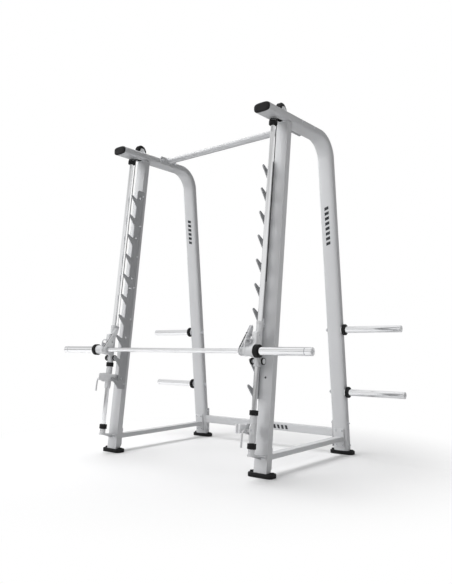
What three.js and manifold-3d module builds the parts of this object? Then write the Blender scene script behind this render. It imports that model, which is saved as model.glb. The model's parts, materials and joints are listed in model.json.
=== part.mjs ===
// Smith machine: a barbell captive on two inclined guide rods, between two arched side frames.
// Units are millimetres. +Z is up, -Y is the lifter's side, +X is the machine's right side.
// Everything is drawn for the right side frame and mirrored, except what crosses the machine.

import * as THREE from 'three';
import { mergeVertices } from 'three/addons/utils/BufferGeometryUtils.js';
import Module from 'manifold-3d';

const wasm = await Module();
wasm.setup();

// ---------------------------------------------------------------- driving dimensions

const GAP = 0.3; // between pieces that touch
const FLOOR_TO_TUBE = 18.3; // underside of the uprights, on the rubber feet
const SIDE_X = 675; // centre plane of the right side frame

const LEAN = THREE.MathUtils.degToRad(7); // guide rods and front uprights, top leaning back
const UPRIGHT_WIDTH = 96;
const UPRIGHT_DEPTH = 48;
const TUBE_WALL = 3;

const ARCH_WIDTH = 120; // flat-oval tube of the rear arch
const ARCH_THICKNESS = 60;
const ARCH_SQUARENESS = 3.5; // exponent of the rounded section
const BEAM_TOP = 2319;
const BEAM_FRONT = 52;
const BEND_RADIUS = 160;
const LEG_FOOT_Y = 1034; // centreline of the rear leg at the floor
const LEG_LEAN = THREE.MathUtils.degToRad(4.86); // foot further back

const ROD_RADIUS = 15;
const ROD_OFFSET = 99; // guide rod axis in front of the upright's face
const ROD_BOTTOM = 132.3;
const ROD_TOP = 2292;
const BUMPER_RADIUS = 28;

const CABLE_OFFSET = 62; // front run of the counterweight cable
const PULLEY_RADIUS = 50;
const PULLEY_PITCH_RADIUS = 43;
const PULLEY_WIDTH = 24;
const PULLEY_HEIGHT = 2348;
const PULLEY_OFFSET = CABLE_OFFSET - PULLEY_PITCH_RADIUS;

const RACK_X = 623.2; // middle of the hook plate
const RACK_THICKNESS = 7;
const HOOK_COUNT = 10;
const HOOK_PITCH = 156.5;
const TOP_HOOK = 1951.5;
const HOOK_TIP = 112;
const RACK_ROOT = -20; // beside the upright, behind its front face
const NOTCH_DEPTH_AT = 50;

const CARRIAGE_BOTTOM = 650;
const CARRIAGE_TOP = 928;
const BAR_OFFSET = 186;
const BAR_HEIGHT = 736;
const BAR_RADIUS = 15;
const SLEEVE_RADIUS = 25;
const BAR_HALF_LENGTH = 1109;
const COLLAR_X = 722;
const COLLAR_THICKNESS = 28;

const RIGHT_STOP_TOP = 392;
const LEFT_STOP_TOP = CARRIAGE_BOTTOM - GAP;
const STOP_LENGTH = 190;
const STOP_RING_HEIGHT = 30;
const HANDLE_PIN = [143, -118]; // forward of the upright's face, and below the top of the stop's ring

const HORN_HEIGHTS = [897, 447];
const HORN_RADIUS = 24;
const HORN_TIP_X = 1177;

const SILVER = [0xb9babb, 0.42, 0.55];
const GREY_PLATE = [0x8d8f92, 0.5, 0.5];
const CHROME = [0xd9dadc, 0.18, 0.95];
const RUBBER = [0x151517, 0.75, 0.0];
const BLACK_PLASTIC = [0x1b1b1d, 0.5, 0.0];
const LIGHT_STEEL = [0xc9cacc, 0.35, 0.7];
const RAW_STEEL = [0x6d6f72, 0.55, 0.8];
const CABLE_BLACK = [0x222224, 0.6, 0.1];

// ---------------------------------------------------------------- solids

function solid(geometry) {
  const bare = new THREE.BufferGeometry();
  bare.setAttribute('position', geometry.getAttribute('position').clone());
  if (geometry.index) bare.setIndex(geometry.index.clone());
  const welded = mergeVertices(bare, 1e-4);
  return new wasm.Manifold(new wasm.Mesh({
    numProp: 3,
    vertProperties: new Float32Array(welded.getAttribute('position').array),
    triVerts: new Uint32Array(welded.index.array),
  }));
}

function toGeometry(manifold) {
  const mesh = manifold.getMesh();
  const geometry = new THREE.BufferGeometry();
  geometry.setAttribute('position', new THREE.BufferAttribute(new Float32Array(mesh.vertProperties), 3));
  geometry.setIndex(new THREE.BufferAttribute(new Uint32Array(mesh.triVerts), 1));
  geometry.computeVertexNormals();
  return geometry;
}

function join(parts) {
  return parts.slice(1).reduce((sum, part) => sum.add(part), parts[0]);
}

function cut(body, tools) {
  return tools.reduce((rest, tool) => rest.subtract(tool), body);
}

function box([x0, x1], [y0, y1], [z0, z1]) {
  const geometry = new THREE.BoxGeometry(x1 - x0, y1 - y0, z1 - z0);
  return geometry.translate((x0 + x1) / 2, (y0 + y1) / 2, (z0 + z1) / 2);
}

// A turned piece along +X: the outline is [distance along the axis, radius] pairs.
function turned(outline, segments = 20) {
  const points = outline.map(([along, radius]) => new THREE.Vector2(radius, along));
  return new THREE.LatheGeometry(points, segments).rotateZ(-Math.PI / 2).rotateX(Math.PI / 2);
}

function disc(x0, x1, radius, segments = 20) {
  return turned([[x0, 0], [x0, radius], [x1, radius], [x1, 0]], segments);
}

function ring(x0, x1, inner, outer, segments = 20) {
  return turned([[x0, inner], [x0, outer], [x1, outer], [x1, inner], [x0, inner]], segments);
}

// The rail frame: q runs up the inclined front upright, p is forward of its front face.
function inRail(geometry, x = SIDE_X) {
  return geometry.rotateX(-LEAN).translate(x, 0, 0);
}

// A piece turned about the X axis, set at (p, q) of the rail frame.
function acrossRail(geometry, p, q, x = 0) {
  return inRail(geometry.translate(0, -p, q), x);
}

// A piece turned about the guide rod direction, at distance p in front of the upright.
function alongRail(geometry, p = ROD_OFFSET, x = SIDE_X) {
  return inRail(geometry.rotateY(-Math.PI / 2).translate(0, -p, 0), x);
}

function railBox(xs, [p0, p1], qs) {
  return inRail(box(xs, [-p1, -p0], qs), 0);
}

function shapeOf(points, holes = []) {
  const shape = new THREE.Shape(points.map(([a, b]) => new THREE.Vector2(a, b)));
  for (const hole of holes) {
    shape.holes.push(new THREE.Path(hole.map(([a, b]) => new THREE.Vector2(a, b))));
  }
  return shape;
}

// A flat plate standing in the YZ plane, its outline given as [forward, up].
function uprightPlate(shape, x0, x1) {
  const plate = new THREE.ExtrudeGeometry(shape, { depth: x1 - x0, bevelEnabled: false, curveSegments: 8 });
  const turn = new THREE.Matrix4().makeBasis(
    new THREE.Vector3(0, -1, 0),
    new THREE.Vector3(0, 0, 1),
    new THREE.Vector3(-1, 0, 0),
  );
  return plate.applyMatrix4(turn).translate(x1, 0, 0);
}

function circle(a, b, radius, segments = 16) {
  return Array.from({ length: segments }, (_, i) => {
    const angle = (2 * Math.PI * i) / segments;
    return [a + radius * Math.cos(angle), b + radius * Math.sin(angle)];
  });
}

// A closed section carried along a path in a plane of constant X.
// Each station is {y, z, ty, tz, scale}: a point, the direction of travel and the section's size there.
function sweep(section, stations, x = SIDE_X) {
  const count = section.length;
  const position = [];
  for (const { y, z, ty, tz, scale = 1 } of stations) {
    for (const [across, out] of section) {
      position.push(x + across * scale, y - tz * out * scale, z + ty * out * scale);
    }
  }
  const index = [];
  for (let s = 0; s < stations.length - 1; s += 1) {
    for (let i = 0; i < count; i += 1) {
      const a = s * count + i;
      const b = s * count + ((i + 1) % count);
      index.push(a, b, a + count, b, b + count, a + count);
    }
  }
  const cap = THREE.ShapeUtils.triangulateShape(section.map(([a, b]) => new THREE.Vector2(a, b)), []);
  const last = (stations.length - 1) * count;
  for (const [a, b, c] of cap) {
    index.push(a, c, b, last + a, last + b, last + c);
  }
  const geometry = new THREE.BufferGeometry();
  geometry.setAttribute('position', new THREE.Float32BufferAttribute(position, 3));
  geometry.setIndex(index);
  return solid(geometry).volume() > 0 ? geometry : flipped(geometry);
}

function flipped(geometry) {
  const index = Array.from(geometry.index.array);
  for (let i = 0; i < index.length; i += 3) {
    [index[i + 1], index[i + 2]] = [index[i + 2], index[i + 1]];
  }
  geometry.setIndex(index);
  return geometry;
}

function mirrored(geometry) {
  return flipped(geometry.clone().scale(-1, 1, 1));
}

function roundedSection(width, thickness, count = 20) {
  const power = 2 / ARCH_SQUARENESS;
  return Array.from({ length: count }, (_, i) => {
    const angle = (2 * Math.PI * (i + 0.5)) / count;
    const c = Math.cos(angle);
    const s = Math.sin(angle);
    return [
      (width / 2) * Math.sign(c) * Math.abs(c) ** power,
      (thickness / 2) * Math.sign(s) * Math.abs(s) ** power,
    ];
  });
}

// ---------------------------------------------------------------- rear arch

// Centreline of the arch: along the top beam, round the bend and down the rear leg.
function archPath(yStart = BEAM_FRONT) {
  const beamZ = BEAM_TOP - ARCH_THICKNESS / 2;
  const turnAngle = Math.PI / 2 - LEG_LEAN;
  const cornerY = LEG_FOOT_Y - beamZ * Math.tan(LEG_LEAN);
  const bendY = cornerY - BEND_RADIUS * Math.tan(turnAngle / 2);
  const steps = 8;
  const stations = [{ y: yStart, z: beamZ, ty: 1, tz: 0 }];
  for (let i = 0; i <= steps; i += 1) {
    const angle = (turnAngle * i) / steps;
    stations.push({
      y: bendY + BEND_RADIUS * Math.sin(angle),
      z: beamZ - BEND_RADIUS * (1 - Math.cos(angle)),
      ty: Math.cos(angle),
      tz: -Math.sin(angle),
    });
  }
  stations.push({
    y: LEG_FOOT_Y + 10 * Math.tan(LEG_LEAN),
    z: -10,
    ty: Math.sin(LEG_LEAN),
    tz: -Math.cos(LEG_LEAN),
  });
  return stations;
}

function legY(z) {
  return LEG_FOOT_Y - z * Math.tan(LEG_LEAN);
}

const archSolid = solid(sweep(roundedSection(ARCH_WIDTH, ARCH_THICKNESS), archPath()));
const archHollow = solid(sweep(
  roundedSection(ARCH_WIDTH - 2 * TUBE_WALL, ARCH_THICKNESS - 2 * TUBE_WALL),
  archPath(BEAM_FRONT - 10),
));
const archSkin = solid(sweep(roundedSection(ARCH_WIDTH + 2 * GAP, ARCH_THICKNESS + 2 * GAP), archPath()));
const uprightSkin = solid(railBox(
  [SIDE_X - UPRIGHT_WIDTH / 2 - GAP, SIDE_X + UPRIGHT_WIDTH / 2 + GAP],
  [-UPRIGHT_DEPTH - GAP, GAP],
  [-20, 2275],
));
const belowTubes = solid(box([-2000, 2000], [-600, 1600], [-100, FLOOR_TO_TUBE]));
const pulleySlot = solid(box([SIDE_X - 17, SIDE_X + 17], [203, 338], [2240, 2330]));
const rodHole = solid(alongRail(disc(2200, ROD_TOP + 3, ROD_RADIUS + GAP)));

const rearArch = cut(archSolid, [archHollow, belowTubes, pulleySlot, rodHole]);

// The plug in the front end of the beam: a shallow dome over the tube's section.
function endCap() {
  const full = roundedSection(ARCH_WIDTH, ARCH_THICKNESS);
  const z = BEAM_TOP - ARCH_THICKNESS / 2;
  return sweep(full, [
    { y: BEAM_FRONT - 14, z, ty: 1, tz: 0, scale: 0.8 },
    { y: BEAM_FRONT - 10, z, ty: 1, tz: 0, scale: 0.93 },
    { y: BEAM_FRONT - 5, z, ty: 1, tz: 0, scale: 0.985 },
    { y: BEAM_FRONT - GAP, z, ty: 1, tz: 0, scale: 0.99 },
  ]);
}

// ---------------------------------------------------------------- front upright and base

function frontUpright() {
  const xs = [SIDE_X - UPRIGHT_WIDTH / 2, SIDE_X + UPRIGHT_WIDTH / 2];
  const inner = [xs[0] + TUBE_WALL, xs[1] - TUBE_WALL];
  const outside = solid(railBox(xs, [-UPRIGHT_DEPTH, 0], [-20, 2275]));
  const inside = solid(railBox(inner, [TUBE_WALL - UPRIGHT_DEPTH, -TUBE_WALL], [-30, 2300]));
  return cut(outside, [inside, belowTubes, archSkin]);
}

// The base rail with the flanges that bolt it to the front upright and the rear leg.
function sideRail() {
  const rail = solid(box([SIDE_X - 30, SIDE_X + 30], [60, 1020], [95, 127]));
  const frontFlange = solid(railBox(
    [SIDE_X - 46, SIDE_X + 46],
    [-UPRIGHT_DEPTH - GAP - 8, -UPRIGHT_DEPTH - GAP],
    [48, 178],
  ));
  const rearFlange = solid(box([SIDE_X - 38, SIDE_X + 38], [-38, -28], [55, 190])
    .rotateX(LEG_LEAN)
    .translate(0, LEG_FOOT_Y, 0));
  const upright = solid(railBox(
    [SIDE_X - 60, SIDE_X + 60],
    [-UPRIGHT_DEPTH - GAP, 40],
    [0, 400],
  ));
  return cut(join([rail, frontFlange, rearFlange]), [upright, archSkin]);
}

// A rubber shoe with a boss at each end; the tube stands in a recess in its top.
function foot(y, depth, tube) {
  const half = 90;
  const bossAt = 73;
  const outline = new THREE.Shape();
  const corner = 28;
  const [across, back] = [half - corner, depth / 2 - corner];
  outline.absarc(across, -back, corner, -Math.PI / 2, 0, false);
  outline.absarc(across, back, corner, 0, Math.PI / 2, false);
  outline.absarc(-across, back, corner, Math.PI / 2, Math.PI, false);
  outline.absarc(-across, -back, corner, Math.PI, (3 * Math.PI) / 2, false);
  const pad = new THREE.ExtrudeGeometry(outline, { depth: 26, bevelEnabled: false, curveSegments: 5 });
  const bosses = [-1, 1].map((side) => new THREE.CylinderGeometry(13, 15, 34, 12)
    .rotateX(Math.PI / 2)
    .translate(side * bossAt, 0, 17));
  const block = join([solid(pad), ...bosses.map(solid)]).translate([SIDE_X, y, 0]);
  const recess = tube.intersect(solid(box([0, 2000], [-600, 1600], [FLOOR_TO_TUBE - GAP, 100])));
  return cut(block, [recess]);
}

// ---------------------------------------------------------------- guide rod and its fittings

// A shelf that narrows to a round nose under the rod, with a back plate, a small gusset and a socket.
function rodBracket() {
  const top = ROD_BOTTOM - GAP;
  const nose = 24;
  const outline = new THREE.Shape();
  outline.moveTo(-GAP, -42);
  outline.lineTo(-GAP, 42);
  outline.lineTo(-16, 42);
  outline.absarc(-ROD_OFFSET, 0, nose, Math.PI / 2 - 0.25, (3 * Math.PI) / 2 + 0.25, false);
  outline.lineTo(-16, -42);
  const shelf = solid(inRail(new THREE.ExtrudeGeometry(outline, {
    depth: 9, bevelEnabled: false, curveSegments: 10,
  }).rotateZ(Math.PI / 2).translate(0, 0, top - 9)));
  const back = solid(railBox([SIDE_X - 42, SIDE_X + 42], [GAP, 6], [top - 30, top]));
  const web = solid(inRail(uprightPlate(
    shapeOf([[4, top - 6], [4, top - 28], [84, top - 12], [84, top - 6]]),
    -4,
    4,
  )));
  const socket = solid(alongRail(ring(top - 2, top + 34, ROD_RADIUS + GAP, 20)));
  const bore = solid(alongRail(disc(ROD_BOTTOM - GAP, ROD_BOTTOM + 60, ROD_RADIUS + GAP)));
  return cut(join([shelf, back, web, socket]), [bore]);
}

// The hook plate: its root lies against the upright's inner side.
function rackPlate() {
  const outline = [[RACK_ROOT, 462], [NOTCH_DEPTH_AT, 462]];
  for (let hook = HOOK_COUNT - 1; hook >= 0; hook -= 1) {
    const tip = TOP_HOOK - hook * HOOK_PITCH;
    outline.push(
      [NOTCH_DEPTH_AT, Math.max(tip - 80, 470)],
      [HOOK_TIP - 4, tip - 17],
      [HOOK_TIP, tip - 9],
      [HOOK_TIP - 3, tip - 1],
      [HOOK_TIP - 9, tip],
      [NOTCH_DEPTH_AT + 8, tip - 20],
      [NOTCH_DEPTH_AT + 2, tip - 18],
      [NOTCH_DEPTH_AT, tip - 12],
    );
  }
  outline.push([NOTCH_DEPTH_AT, 1995], [NOTCH_DEPTH_AT - 12, 2007], [RACK_ROOT, 2007]);
  const windows = [1946, 1624, 1304, 846, 540].map((q) => [[14, q - 14], [24, q - 14], [24, q + 14], [14, q + 14]]);
  windows.push([[12, 1219], [44, 1221], [44, 1231], [12, 1229]]);
  const x0 = RACK_X - RACK_THICKNESS / 2;
  return solid(inRail(uprightPlate(shapeOf(outline, windows), x0, x0 + RACK_THICKNESS), 0));
}

// ---------------------------------------------------------------- counterweight drive

function pulley() {
  const half = PULLEY_WIDTH / 2;
  const bore = 5.3;
  const groove = PULLEY_PITCH_RADIUS - 3;
  return turned([
    [-half, bore], [-half, PULLEY_RADIUS], [-5.5, PULLEY_RADIUS], [-2.5, groove], [2.5, groove],
    [5.5, PULLEY_RADIUS], [half, PULLEY_RADIUS], [half, bore], [-half, bore],
  ], 24);
}

function pulleyBracket() {
  const cheek = shapeOf([[-30, 0], [30, 0], [30, 8], [13, 36], [-13, 36], [-30, 8]]);
  const y = PULLEY_HEIGHT * Math.sin(LEAN) - PULLEY_OFFSET * Math.cos(LEAN);
  const cheeks = [-1, 1].map((side) => solid(uprightPlate(cheek, -2.5, 2.5)
    .translate(SIDE_X + side * 21, y, BEAM_TOP + GAP)));
  const pin = solid(acrossRail(disc(SIDE_X - 28, SIDE_X + 28, 5, 16), PULLEY_OFFSET, PULLEY_HEIGHT));
  return join([...cheeks, pin]);
}

// The cable: thin bare wire at the carriage, jacketed above it, over the pulley and down the upright.
function cable() {
  const jacket = 2.5;
  const wire = 1.6;
  const up = [Math.sin(LEAN), Math.cos(LEAN)];
  const at = (p, q) => ({ y: q * up[0] - p * up[1], z: q * up[1] + p * up[0] });
  const rise = (p, q, scale) => ({ ...at(p, q), ty: up[0], tz: up[1], scale });
  const stations = [
    rise(CABLE_OFFSET, CARRIAGE_TOP + GAP, wire),
    rise(CABLE_OFFSET, 1180, wire),
    rise(CABLE_OFFSET, 1184, jacket),
    rise(CABLE_OFFSET, PULLEY_HEIGHT - 20, jacket),
  ];
  const steps = 14;
  for (let i = 0; i <= steps; i += 1) {
    const angle = (Math.PI * i) / steps;
    const p = PULLEY_OFFSET + PULLEY_PITCH_RADIUS * Math.cos(angle);
    const q = PULLEY_HEIGHT + PULLEY_PITCH_RADIUS * Math.sin(angle);
    const back = Math.sin(angle);
    const ahead = Math.cos(angle);
    stations.push({
      ...at(p, q),
      ty: back * up[1] + ahead * up[0],
      tz: ahead * up[1] - back * up[0],
      scale: jacket,
    });
  }
  const rear = PULLEY_OFFSET - PULLEY_PITCH_RADIUS;
  stations.push({ ...at(rear, 1960 + GAP), ty: -up[0], tz: -up[1], scale: jacket });
  return sweep(circle(0, 0, 1, 8), stations);
}

function counterweight() {
  const middle = PULLEY_OFFSET - PULLEY_PITCH_RADIUS;
  return railBox([SIDE_X - 40, SIDE_X + 40], [middle - 16, middle + 16], [1360, 1960]);
}

// ---------------------------------------------------------------- carriage and bar

function carriage() {
  const tube = solid(alongRail(disc(CARRIAGE_BOTTOM, CARRIAGE_TOP, 22)));
  const web = solid(inRail(uprightPlate(shapeOf([
    [ROD_OFFSET, 700], [BAR_OFFSET, BAR_HEIGHT - 26], [BAR_OFFSET, BAR_HEIGHT + 28],
    [148, 790], [148, 856], [ROD_OFFSET, 872],
  ]), SIDE_X - 18, SIDE_X + 18), 0));
  const hub = solid(acrossRail(disc(643, COLLAR_X - 2, 32), BAR_OFFSET, BAR_HEIGHT));
  const lug = solid(railBox([SIDE_X - 6, SIDE_X + 6], [52, 84], [896, CARRIAGE_TOP]));
  const sidePads = [-1, 1].flatMap((side) => [
    solid(acrossRail(disc(-14, 14, 11, 16), 95, 684, SIDE_X + side * 30)),
    solid(acrossRail(disc(-6, 6, 21), 95, 684, SIDE_X + side * 41.5)),
  ]);
  const bore = solid(alongRail(disc(CARRIAGE_BOTTOM - 10, CARRIAGE_TOP + 10, ROD_RADIUS + GAP)));
  const barBore = solid(acrossRail(disc(600, 760, BAR_RADIUS + GAP), BAR_OFFSET, BAR_HEIGHT));
  return cut(join([tube, web, hub, lug, guardPlate(), ...sidePads]), [bore, barBore]);
}

// The plate between the web and the hub's inner end, with an oblong window over the bar.
function guardPlate() {
  const outline = [
    [-87, 10], [24, 10], [30, 26], [28, 56], [20, 70], [6, 77], [-38, 78], [-60, 104], [-87, 118],
  ];
  const window = [[-28, 50], [18, 50], [20, 56], [18, 64], [12, 69], [-28, 69]];
  const toRail = ([forward, up]) => [BAR_OFFSET + forward, BAR_HEIGHT + up];
  return solid(inRail(uprightPlate(shapeOf(outline.map(toRail), [window.map(toRail)]), 651, 659), 0));
}

// The latch is two arms that straddle the hook plate. The outer arm carries a sleeve fixed to the
// bar and a spacer bolt, the inner arm fits over both, and the catch pin crosses the two.
const LATCH_ARM = [
  [34, 13], [-57, 157], [-60, 164], [-68, 168], [-80, 162], [-83, 152], [-80, 134], [-66, 104],
  [-58, 70], [-46, 34], [-34, 4], [-26, -17], [0, -31], [24, -24], [36, -6],
];
const CATCH_AT = [-66.5, 152];
const SPACER_AT = [-40, 100];
const INNER_ARM_X = [614.6, 618.6];
const OUTER_ARM_X = [627.8, 631.8];

function latchArm([x0, x1]) {
  return solid(acrossRail(uprightPlate(shapeOf(LATCH_ARM), x0, x1), BAR_OFFSET, BAR_HEIGHT));
}

function atBar(geometry, [forward, up] = [0, 0]) {
  return solid(acrossRail(geometry, BAR_OFFSET + forward, BAR_HEIGHT + up));
}

function latch() {
  const spacer = atBar(disc(612, OUTER_ARM_X[1], 4.5, 12), SPACER_AT);
  const sleeve = atBar(disc(INNER_ARM_X[0] - 5, OUTER_ARM_X[1], 22));
  const flange = atBar(disc(OUTER_ARM_X[0], 641, 29));
  const catchHole = atBar(disc(600, 650, 5 + GAP, 12), CATCH_AT);
  const bore = atBar(disc(590, 660, BAR_RADIUS + GAP));
  return cut(join([latchArm(OUTER_ARM_X), spacer, sleeve, flange]), [catchHole, bore]);
}

function latchInner() {
  const holes = [
    atBar(disc(600, 650, 5 + GAP, 12), CATCH_AT),
    atBar(disc(600, 650, 4.5 + GAP, 12), SPACER_AT),
    atBar(disc(600, 650, 22 + GAP)),
  ];
  return cut(latchArm(INNER_ARM_X), holes);
}

function weightSleeve() {
  const start = COLLAR_X + COLLAR_THICKNESS + GAP;
  const end = BAR_HALF_LENGTH;
  const bore = BAR_RADIUS + GAP;
  return acrossRail(turned([
    [end - 14, 0], [end - 14, bore], [start, bore], [start, SLEEVE_RADIUS], [end - 46, SLEEVE_RADIUS],
    [end - 45, SLEEVE_RADIUS - 2], [end - 41, SLEEVE_RADIUS - 2], [end - 40, SLEEVE_RADIUS],
    [end, SLEEVE_RADIUS], [end, 0],
  ], 24), BAR_OFFSET, BAR_HEIGHT);
}

// ---------------------------------------------------------------- safety stops

// A sleeve on the rod, a guide plate beside the hook plate, and two cheeks for the handle's pin.
function stopHousing(top) {
  const tube = solid(alongRail(disc(top - STOP_LENGTH, top - STOP_RING_HEIGHT - GAP, 22)));
  const cheeks = [-1, 1].map((side) => solid(inRail(uprightPlate(
    shapeOf([[104, top - 144], [146, top - 142], [156, top - 130], [156, top - 92], [144, top - 80], [104, top - 80]]),
    side * 17 - 2.5,
    side * 17 + 2.5,
  ))));
  const guide = solid(inRail(uprightPlate(
    shapeOf([[30, top - 132], [36, top - 138], [212, top - 138], [220, top - 130], [220, top - 93],
      [212, top - 85], [36, top - 85], [30, top - 91]]),
    636,
    642,
  ), 0));
  const bridge = solid(railBox([640, 662], [84, 114], [top - 134, top - 89]));
  const pin = solid(acrossRail(disc(SIDE_X - 23, SIDE_X + 23, 3.7, 12), HANDLE_PIN[0], top + HANDLE_PIN[1]));
  const bore = solid(alongRail(disc(top - STOP_LENGTH - 5, top + 5, ROD_RADIUS + GAP)));
  return cut(join([tube, ...cheeks, guide, bridge, pin]), [bore]);
}

// Round-bar handle: an eye on the pin, a short arm forward and a tail hanging down.
function stopLever(top) {
  const [p, q] = [HANDLE_PIN[0], top + HANDLE_PIN[1]];
  const eye = solid(acrossRail(disc(SIDE_X - 13, SIDE_X + 13, 9, 16), p, q));
  const bore = solid(acrossRail(disc(SIDE_X - 20, SIDE_X + 20, 4, 12), p, q));
  const bar = new THREE.CatmullRomCurve3([
    [148, -118], [162, -115], [180, -116], [193, -123], [200, -138], [202, -165], [203, -217],
  ].map(([forward, up]) => new THREE.Vector3(0, -forward, top + up)), false, 'centripetal');
  const section = new THREE.Shape().absarc(0, 0, 5.5, 0, 2 * Math.PI, false);
  const arm = new THREE.ExtrudeGeometry(section, {
    steps: 12, curveSegments: 4, bevelEnabled: false, extrudePath: bar,
  });
  return cut(eye.add(solid(inRail(arm))), [bore]);
}

// ---------------------------------------------------------------- pieces that cross the machine

function rearCrossmember() {
  const y = legY(151);
  const inner = SIDE_X - ARCH_WIDTH / 2;
  const bar = solid(box([-inner - 8, inner + 8], [y - 20, y + 16], [121, 181]));
  const flanges = [-1, 1].map((side) => solid(box(
    side > 0 ? [inner - 8, inner + 8] : [-inner - 8, 8 - inner],
    [y - 20, y + 22],
    [50, 240],
  )));
  const legs = [archSkin, archSkin.mirror([1, 0, 0])];
  return cut(join([bar, ...flanges]), legs);
}

function pullUpBar() {
  const inner = SIDE_X - ARCH_WIDTH / 2;
  const bar = solid(disc(-inner + 4, inner - 4, 24, 24).translate(0, 519, 2302));
  const plates = [-1, 1].map((side) => solid(box(
    side > 0 ? [inner - GAP - 8, inner - GAP] : [GAP - inner, GAP - inner + 8],
    [426, 606],
    [2262, 2318],
  )));
  return join([bar, ...plates]);
}

function barShaft() {
  const half = BAR_HALF_LENGTH - 15;
  return acrossRail(disc(-half, half, BAR_RADIUS), BAR_OFFSET, BAR_HEIGHT);
}

// ---------------------------------------------------------------- assembly

const machine = new THREE.Group();
machine.name = 'smith_machine';

function add(name, shape, [color, roughness, metalness]) {
  const geometry = shape instanceof THREE.BufferGeometry ? shape : toGeometry(shape);
  const mesh = new THREE.Mesh(geometry, new THREE.MeshStandardMaterial({ color, roughness, metalness }));
  mesh.name = name;
  machine.add(mesh);
}

function addPair(name, shape, finish) {
  const right = shape instanceof THREE.BufferGeometry ? shape : toGeometry(shape);
  add(`${name}_r`, right, finish);
  add(`${name}_l`, mirrored(right), finish);
}

addPair('rear_arch', rearArch, SILVER);
addPair('beam_end_cap', endCap(), BLACK_PLASTIC);
addPair('front_upright', frontUpright(), SILVER);
addPair('side_rail', sideRail(), SILVER);
add('rear_crossmember', rearCrossmember(), SILVER);
add('pull_up_bar', pullUpBar(), LIGHT_STEEL);
addPair('front_foot', foot(26, 80, uprightSkin), RUBBER);
addPair('rear_foot', foot(legY(10), 76, archSkin), RUBBER);

addPair('guide_rod', alongRail(disc(ROD_BOTTOM, ROD_TOP, ROD_RADIUS)), CHROME);
addPair('rod_top_bumper', alongRail(ring(2214, 2250, ROD_RADIUS + GAP, BUMPER_RADIUS)), RUBBER);
addPair('rod_bottom_bumper', alongRail(ring(166.5, 199, ROD_RADIUS + GAP, 27)), RUBBER);
addPair('rod_bracket', rodBracket(), LIGHT_STEEL);
addPair('rack_plate', rackPlate(), GREY_PLATE);

addPair('pulley', acrossRail(pulley(), PULLEY_OFFSET, PULLEY_HEIGHT, SIDE_X), BLACK_PLASTIC);
addPair('pulley_bracket', pulleyBracket(), LIGHT_STEEL);
addPair('cable', cable(), CABLE_BLACK);
addPair('counterweight', counterweight(), RAW_STEEL);

for (const [level, z] of [['upper', HORN_HEIGHTS[0]], ['lower', HORN_HEIGHTS[1]]]) {
  const peg = solid(disc(700, HORN_TIP_X, HORN_RADIUS).translate(0, legY(z) - 6, z));
  const start = SIDE_X + ARCH_WIDTH / 2;
  addPair(`storage_horn_${level}`, cut(peg, [archSkin]), CHROME);
  addPair(
    `horn_ring_${level}`,
    ring(start + 8, start + 25, HORN_RADIUS + GAP, 40).translate(0, legY(z) - 6, z),
    RUBBER,
  );
}

addPair('carriage', carriage(), LIGHT_STEEL);
add('bar_shaft', barShaft(), CHROME);
addPair('weight_sleeve', weightSleeve(), CHROME);
addPair(
  'bar_collar',
  acrossRail(ring(COLLAR_X, COLLAR_X + COLLAR_THICKNESS, BAR_RADIUS + GAP, 40), BAR_OFFSET, BAR_HEIGHT),
  RUBBER,
);
addPair('latch', latch(), LIGHT_STEEL);
addPair('latch_inner', latchInner(), LIGHT_STEEL);
addPair('latch_catch', atBar(disc(612, 634, 5, 12), CATCH_AT), LIGHT_STEEL);

for (const [side, top] of [['r', RIGHT_STOP_TOP], ['l', LEFT_STOP_TOP]]) {
  const place = (shape) => (side === 'r' ? toGeometry(shape) : mirrored(toGeometry(shape)));
  const cushion = solid(alongRail(ring(top - STOP_RING_HEIGHT, top, ROD_RADIUS + GAP, 27)));
  add(`stop_housing_${side}`, place(stopHousing(top)), LIGHT_STEEL);
  add(`stop_ring_${side}`, place(cushion), RUBBER);
  add(`stop_lever_${side}`, place(stopLever(top)), CHROME);
}

// The origin is on the floor, under the middle of the whole machine.
const extent = new THREE.Box3().setFromObject(machine);
const middle = extent.getCenter(new THREE.Vector3());
for (const mesh of machine.children) {
  mesh.geometry.translate(-middle.x, -middle.y, -extent.min.z);
}

export default machine;
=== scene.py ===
"""Smith machine: the finished looks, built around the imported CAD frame.

Metres. +Z is up, -Y is the lifter's side, +X is the side nearest the camera. Everything is drawn for
the +X side frame and mirrored, except what crosses the machine. Many shapes are given in the rail's
own frame: p is the distance forward of the front upright's face, q is the distance up along it.
"""

import json
from collections import namedtuple
from math import asin, cos, pi, radians, sin, tan

import bmesh
import bpy
from mathutils import Matrix, Vector


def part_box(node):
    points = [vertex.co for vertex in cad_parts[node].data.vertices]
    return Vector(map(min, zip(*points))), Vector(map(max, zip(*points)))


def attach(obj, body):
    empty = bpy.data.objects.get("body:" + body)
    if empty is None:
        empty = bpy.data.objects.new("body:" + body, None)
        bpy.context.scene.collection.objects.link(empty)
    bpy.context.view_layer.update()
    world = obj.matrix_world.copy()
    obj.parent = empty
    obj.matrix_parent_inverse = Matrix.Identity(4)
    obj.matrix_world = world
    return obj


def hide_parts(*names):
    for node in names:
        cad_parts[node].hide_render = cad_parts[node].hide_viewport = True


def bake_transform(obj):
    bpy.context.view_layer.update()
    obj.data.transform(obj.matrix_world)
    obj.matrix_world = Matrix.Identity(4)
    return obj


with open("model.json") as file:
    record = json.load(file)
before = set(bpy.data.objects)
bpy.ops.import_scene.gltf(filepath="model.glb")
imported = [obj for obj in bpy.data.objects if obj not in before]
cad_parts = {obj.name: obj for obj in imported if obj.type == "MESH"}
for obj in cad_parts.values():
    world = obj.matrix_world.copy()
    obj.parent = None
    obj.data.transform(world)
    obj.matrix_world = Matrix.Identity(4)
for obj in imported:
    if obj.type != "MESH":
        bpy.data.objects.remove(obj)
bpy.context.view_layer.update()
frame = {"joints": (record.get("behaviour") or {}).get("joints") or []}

# ---------------------------------------------------------------- measures taken from the frame

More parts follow.
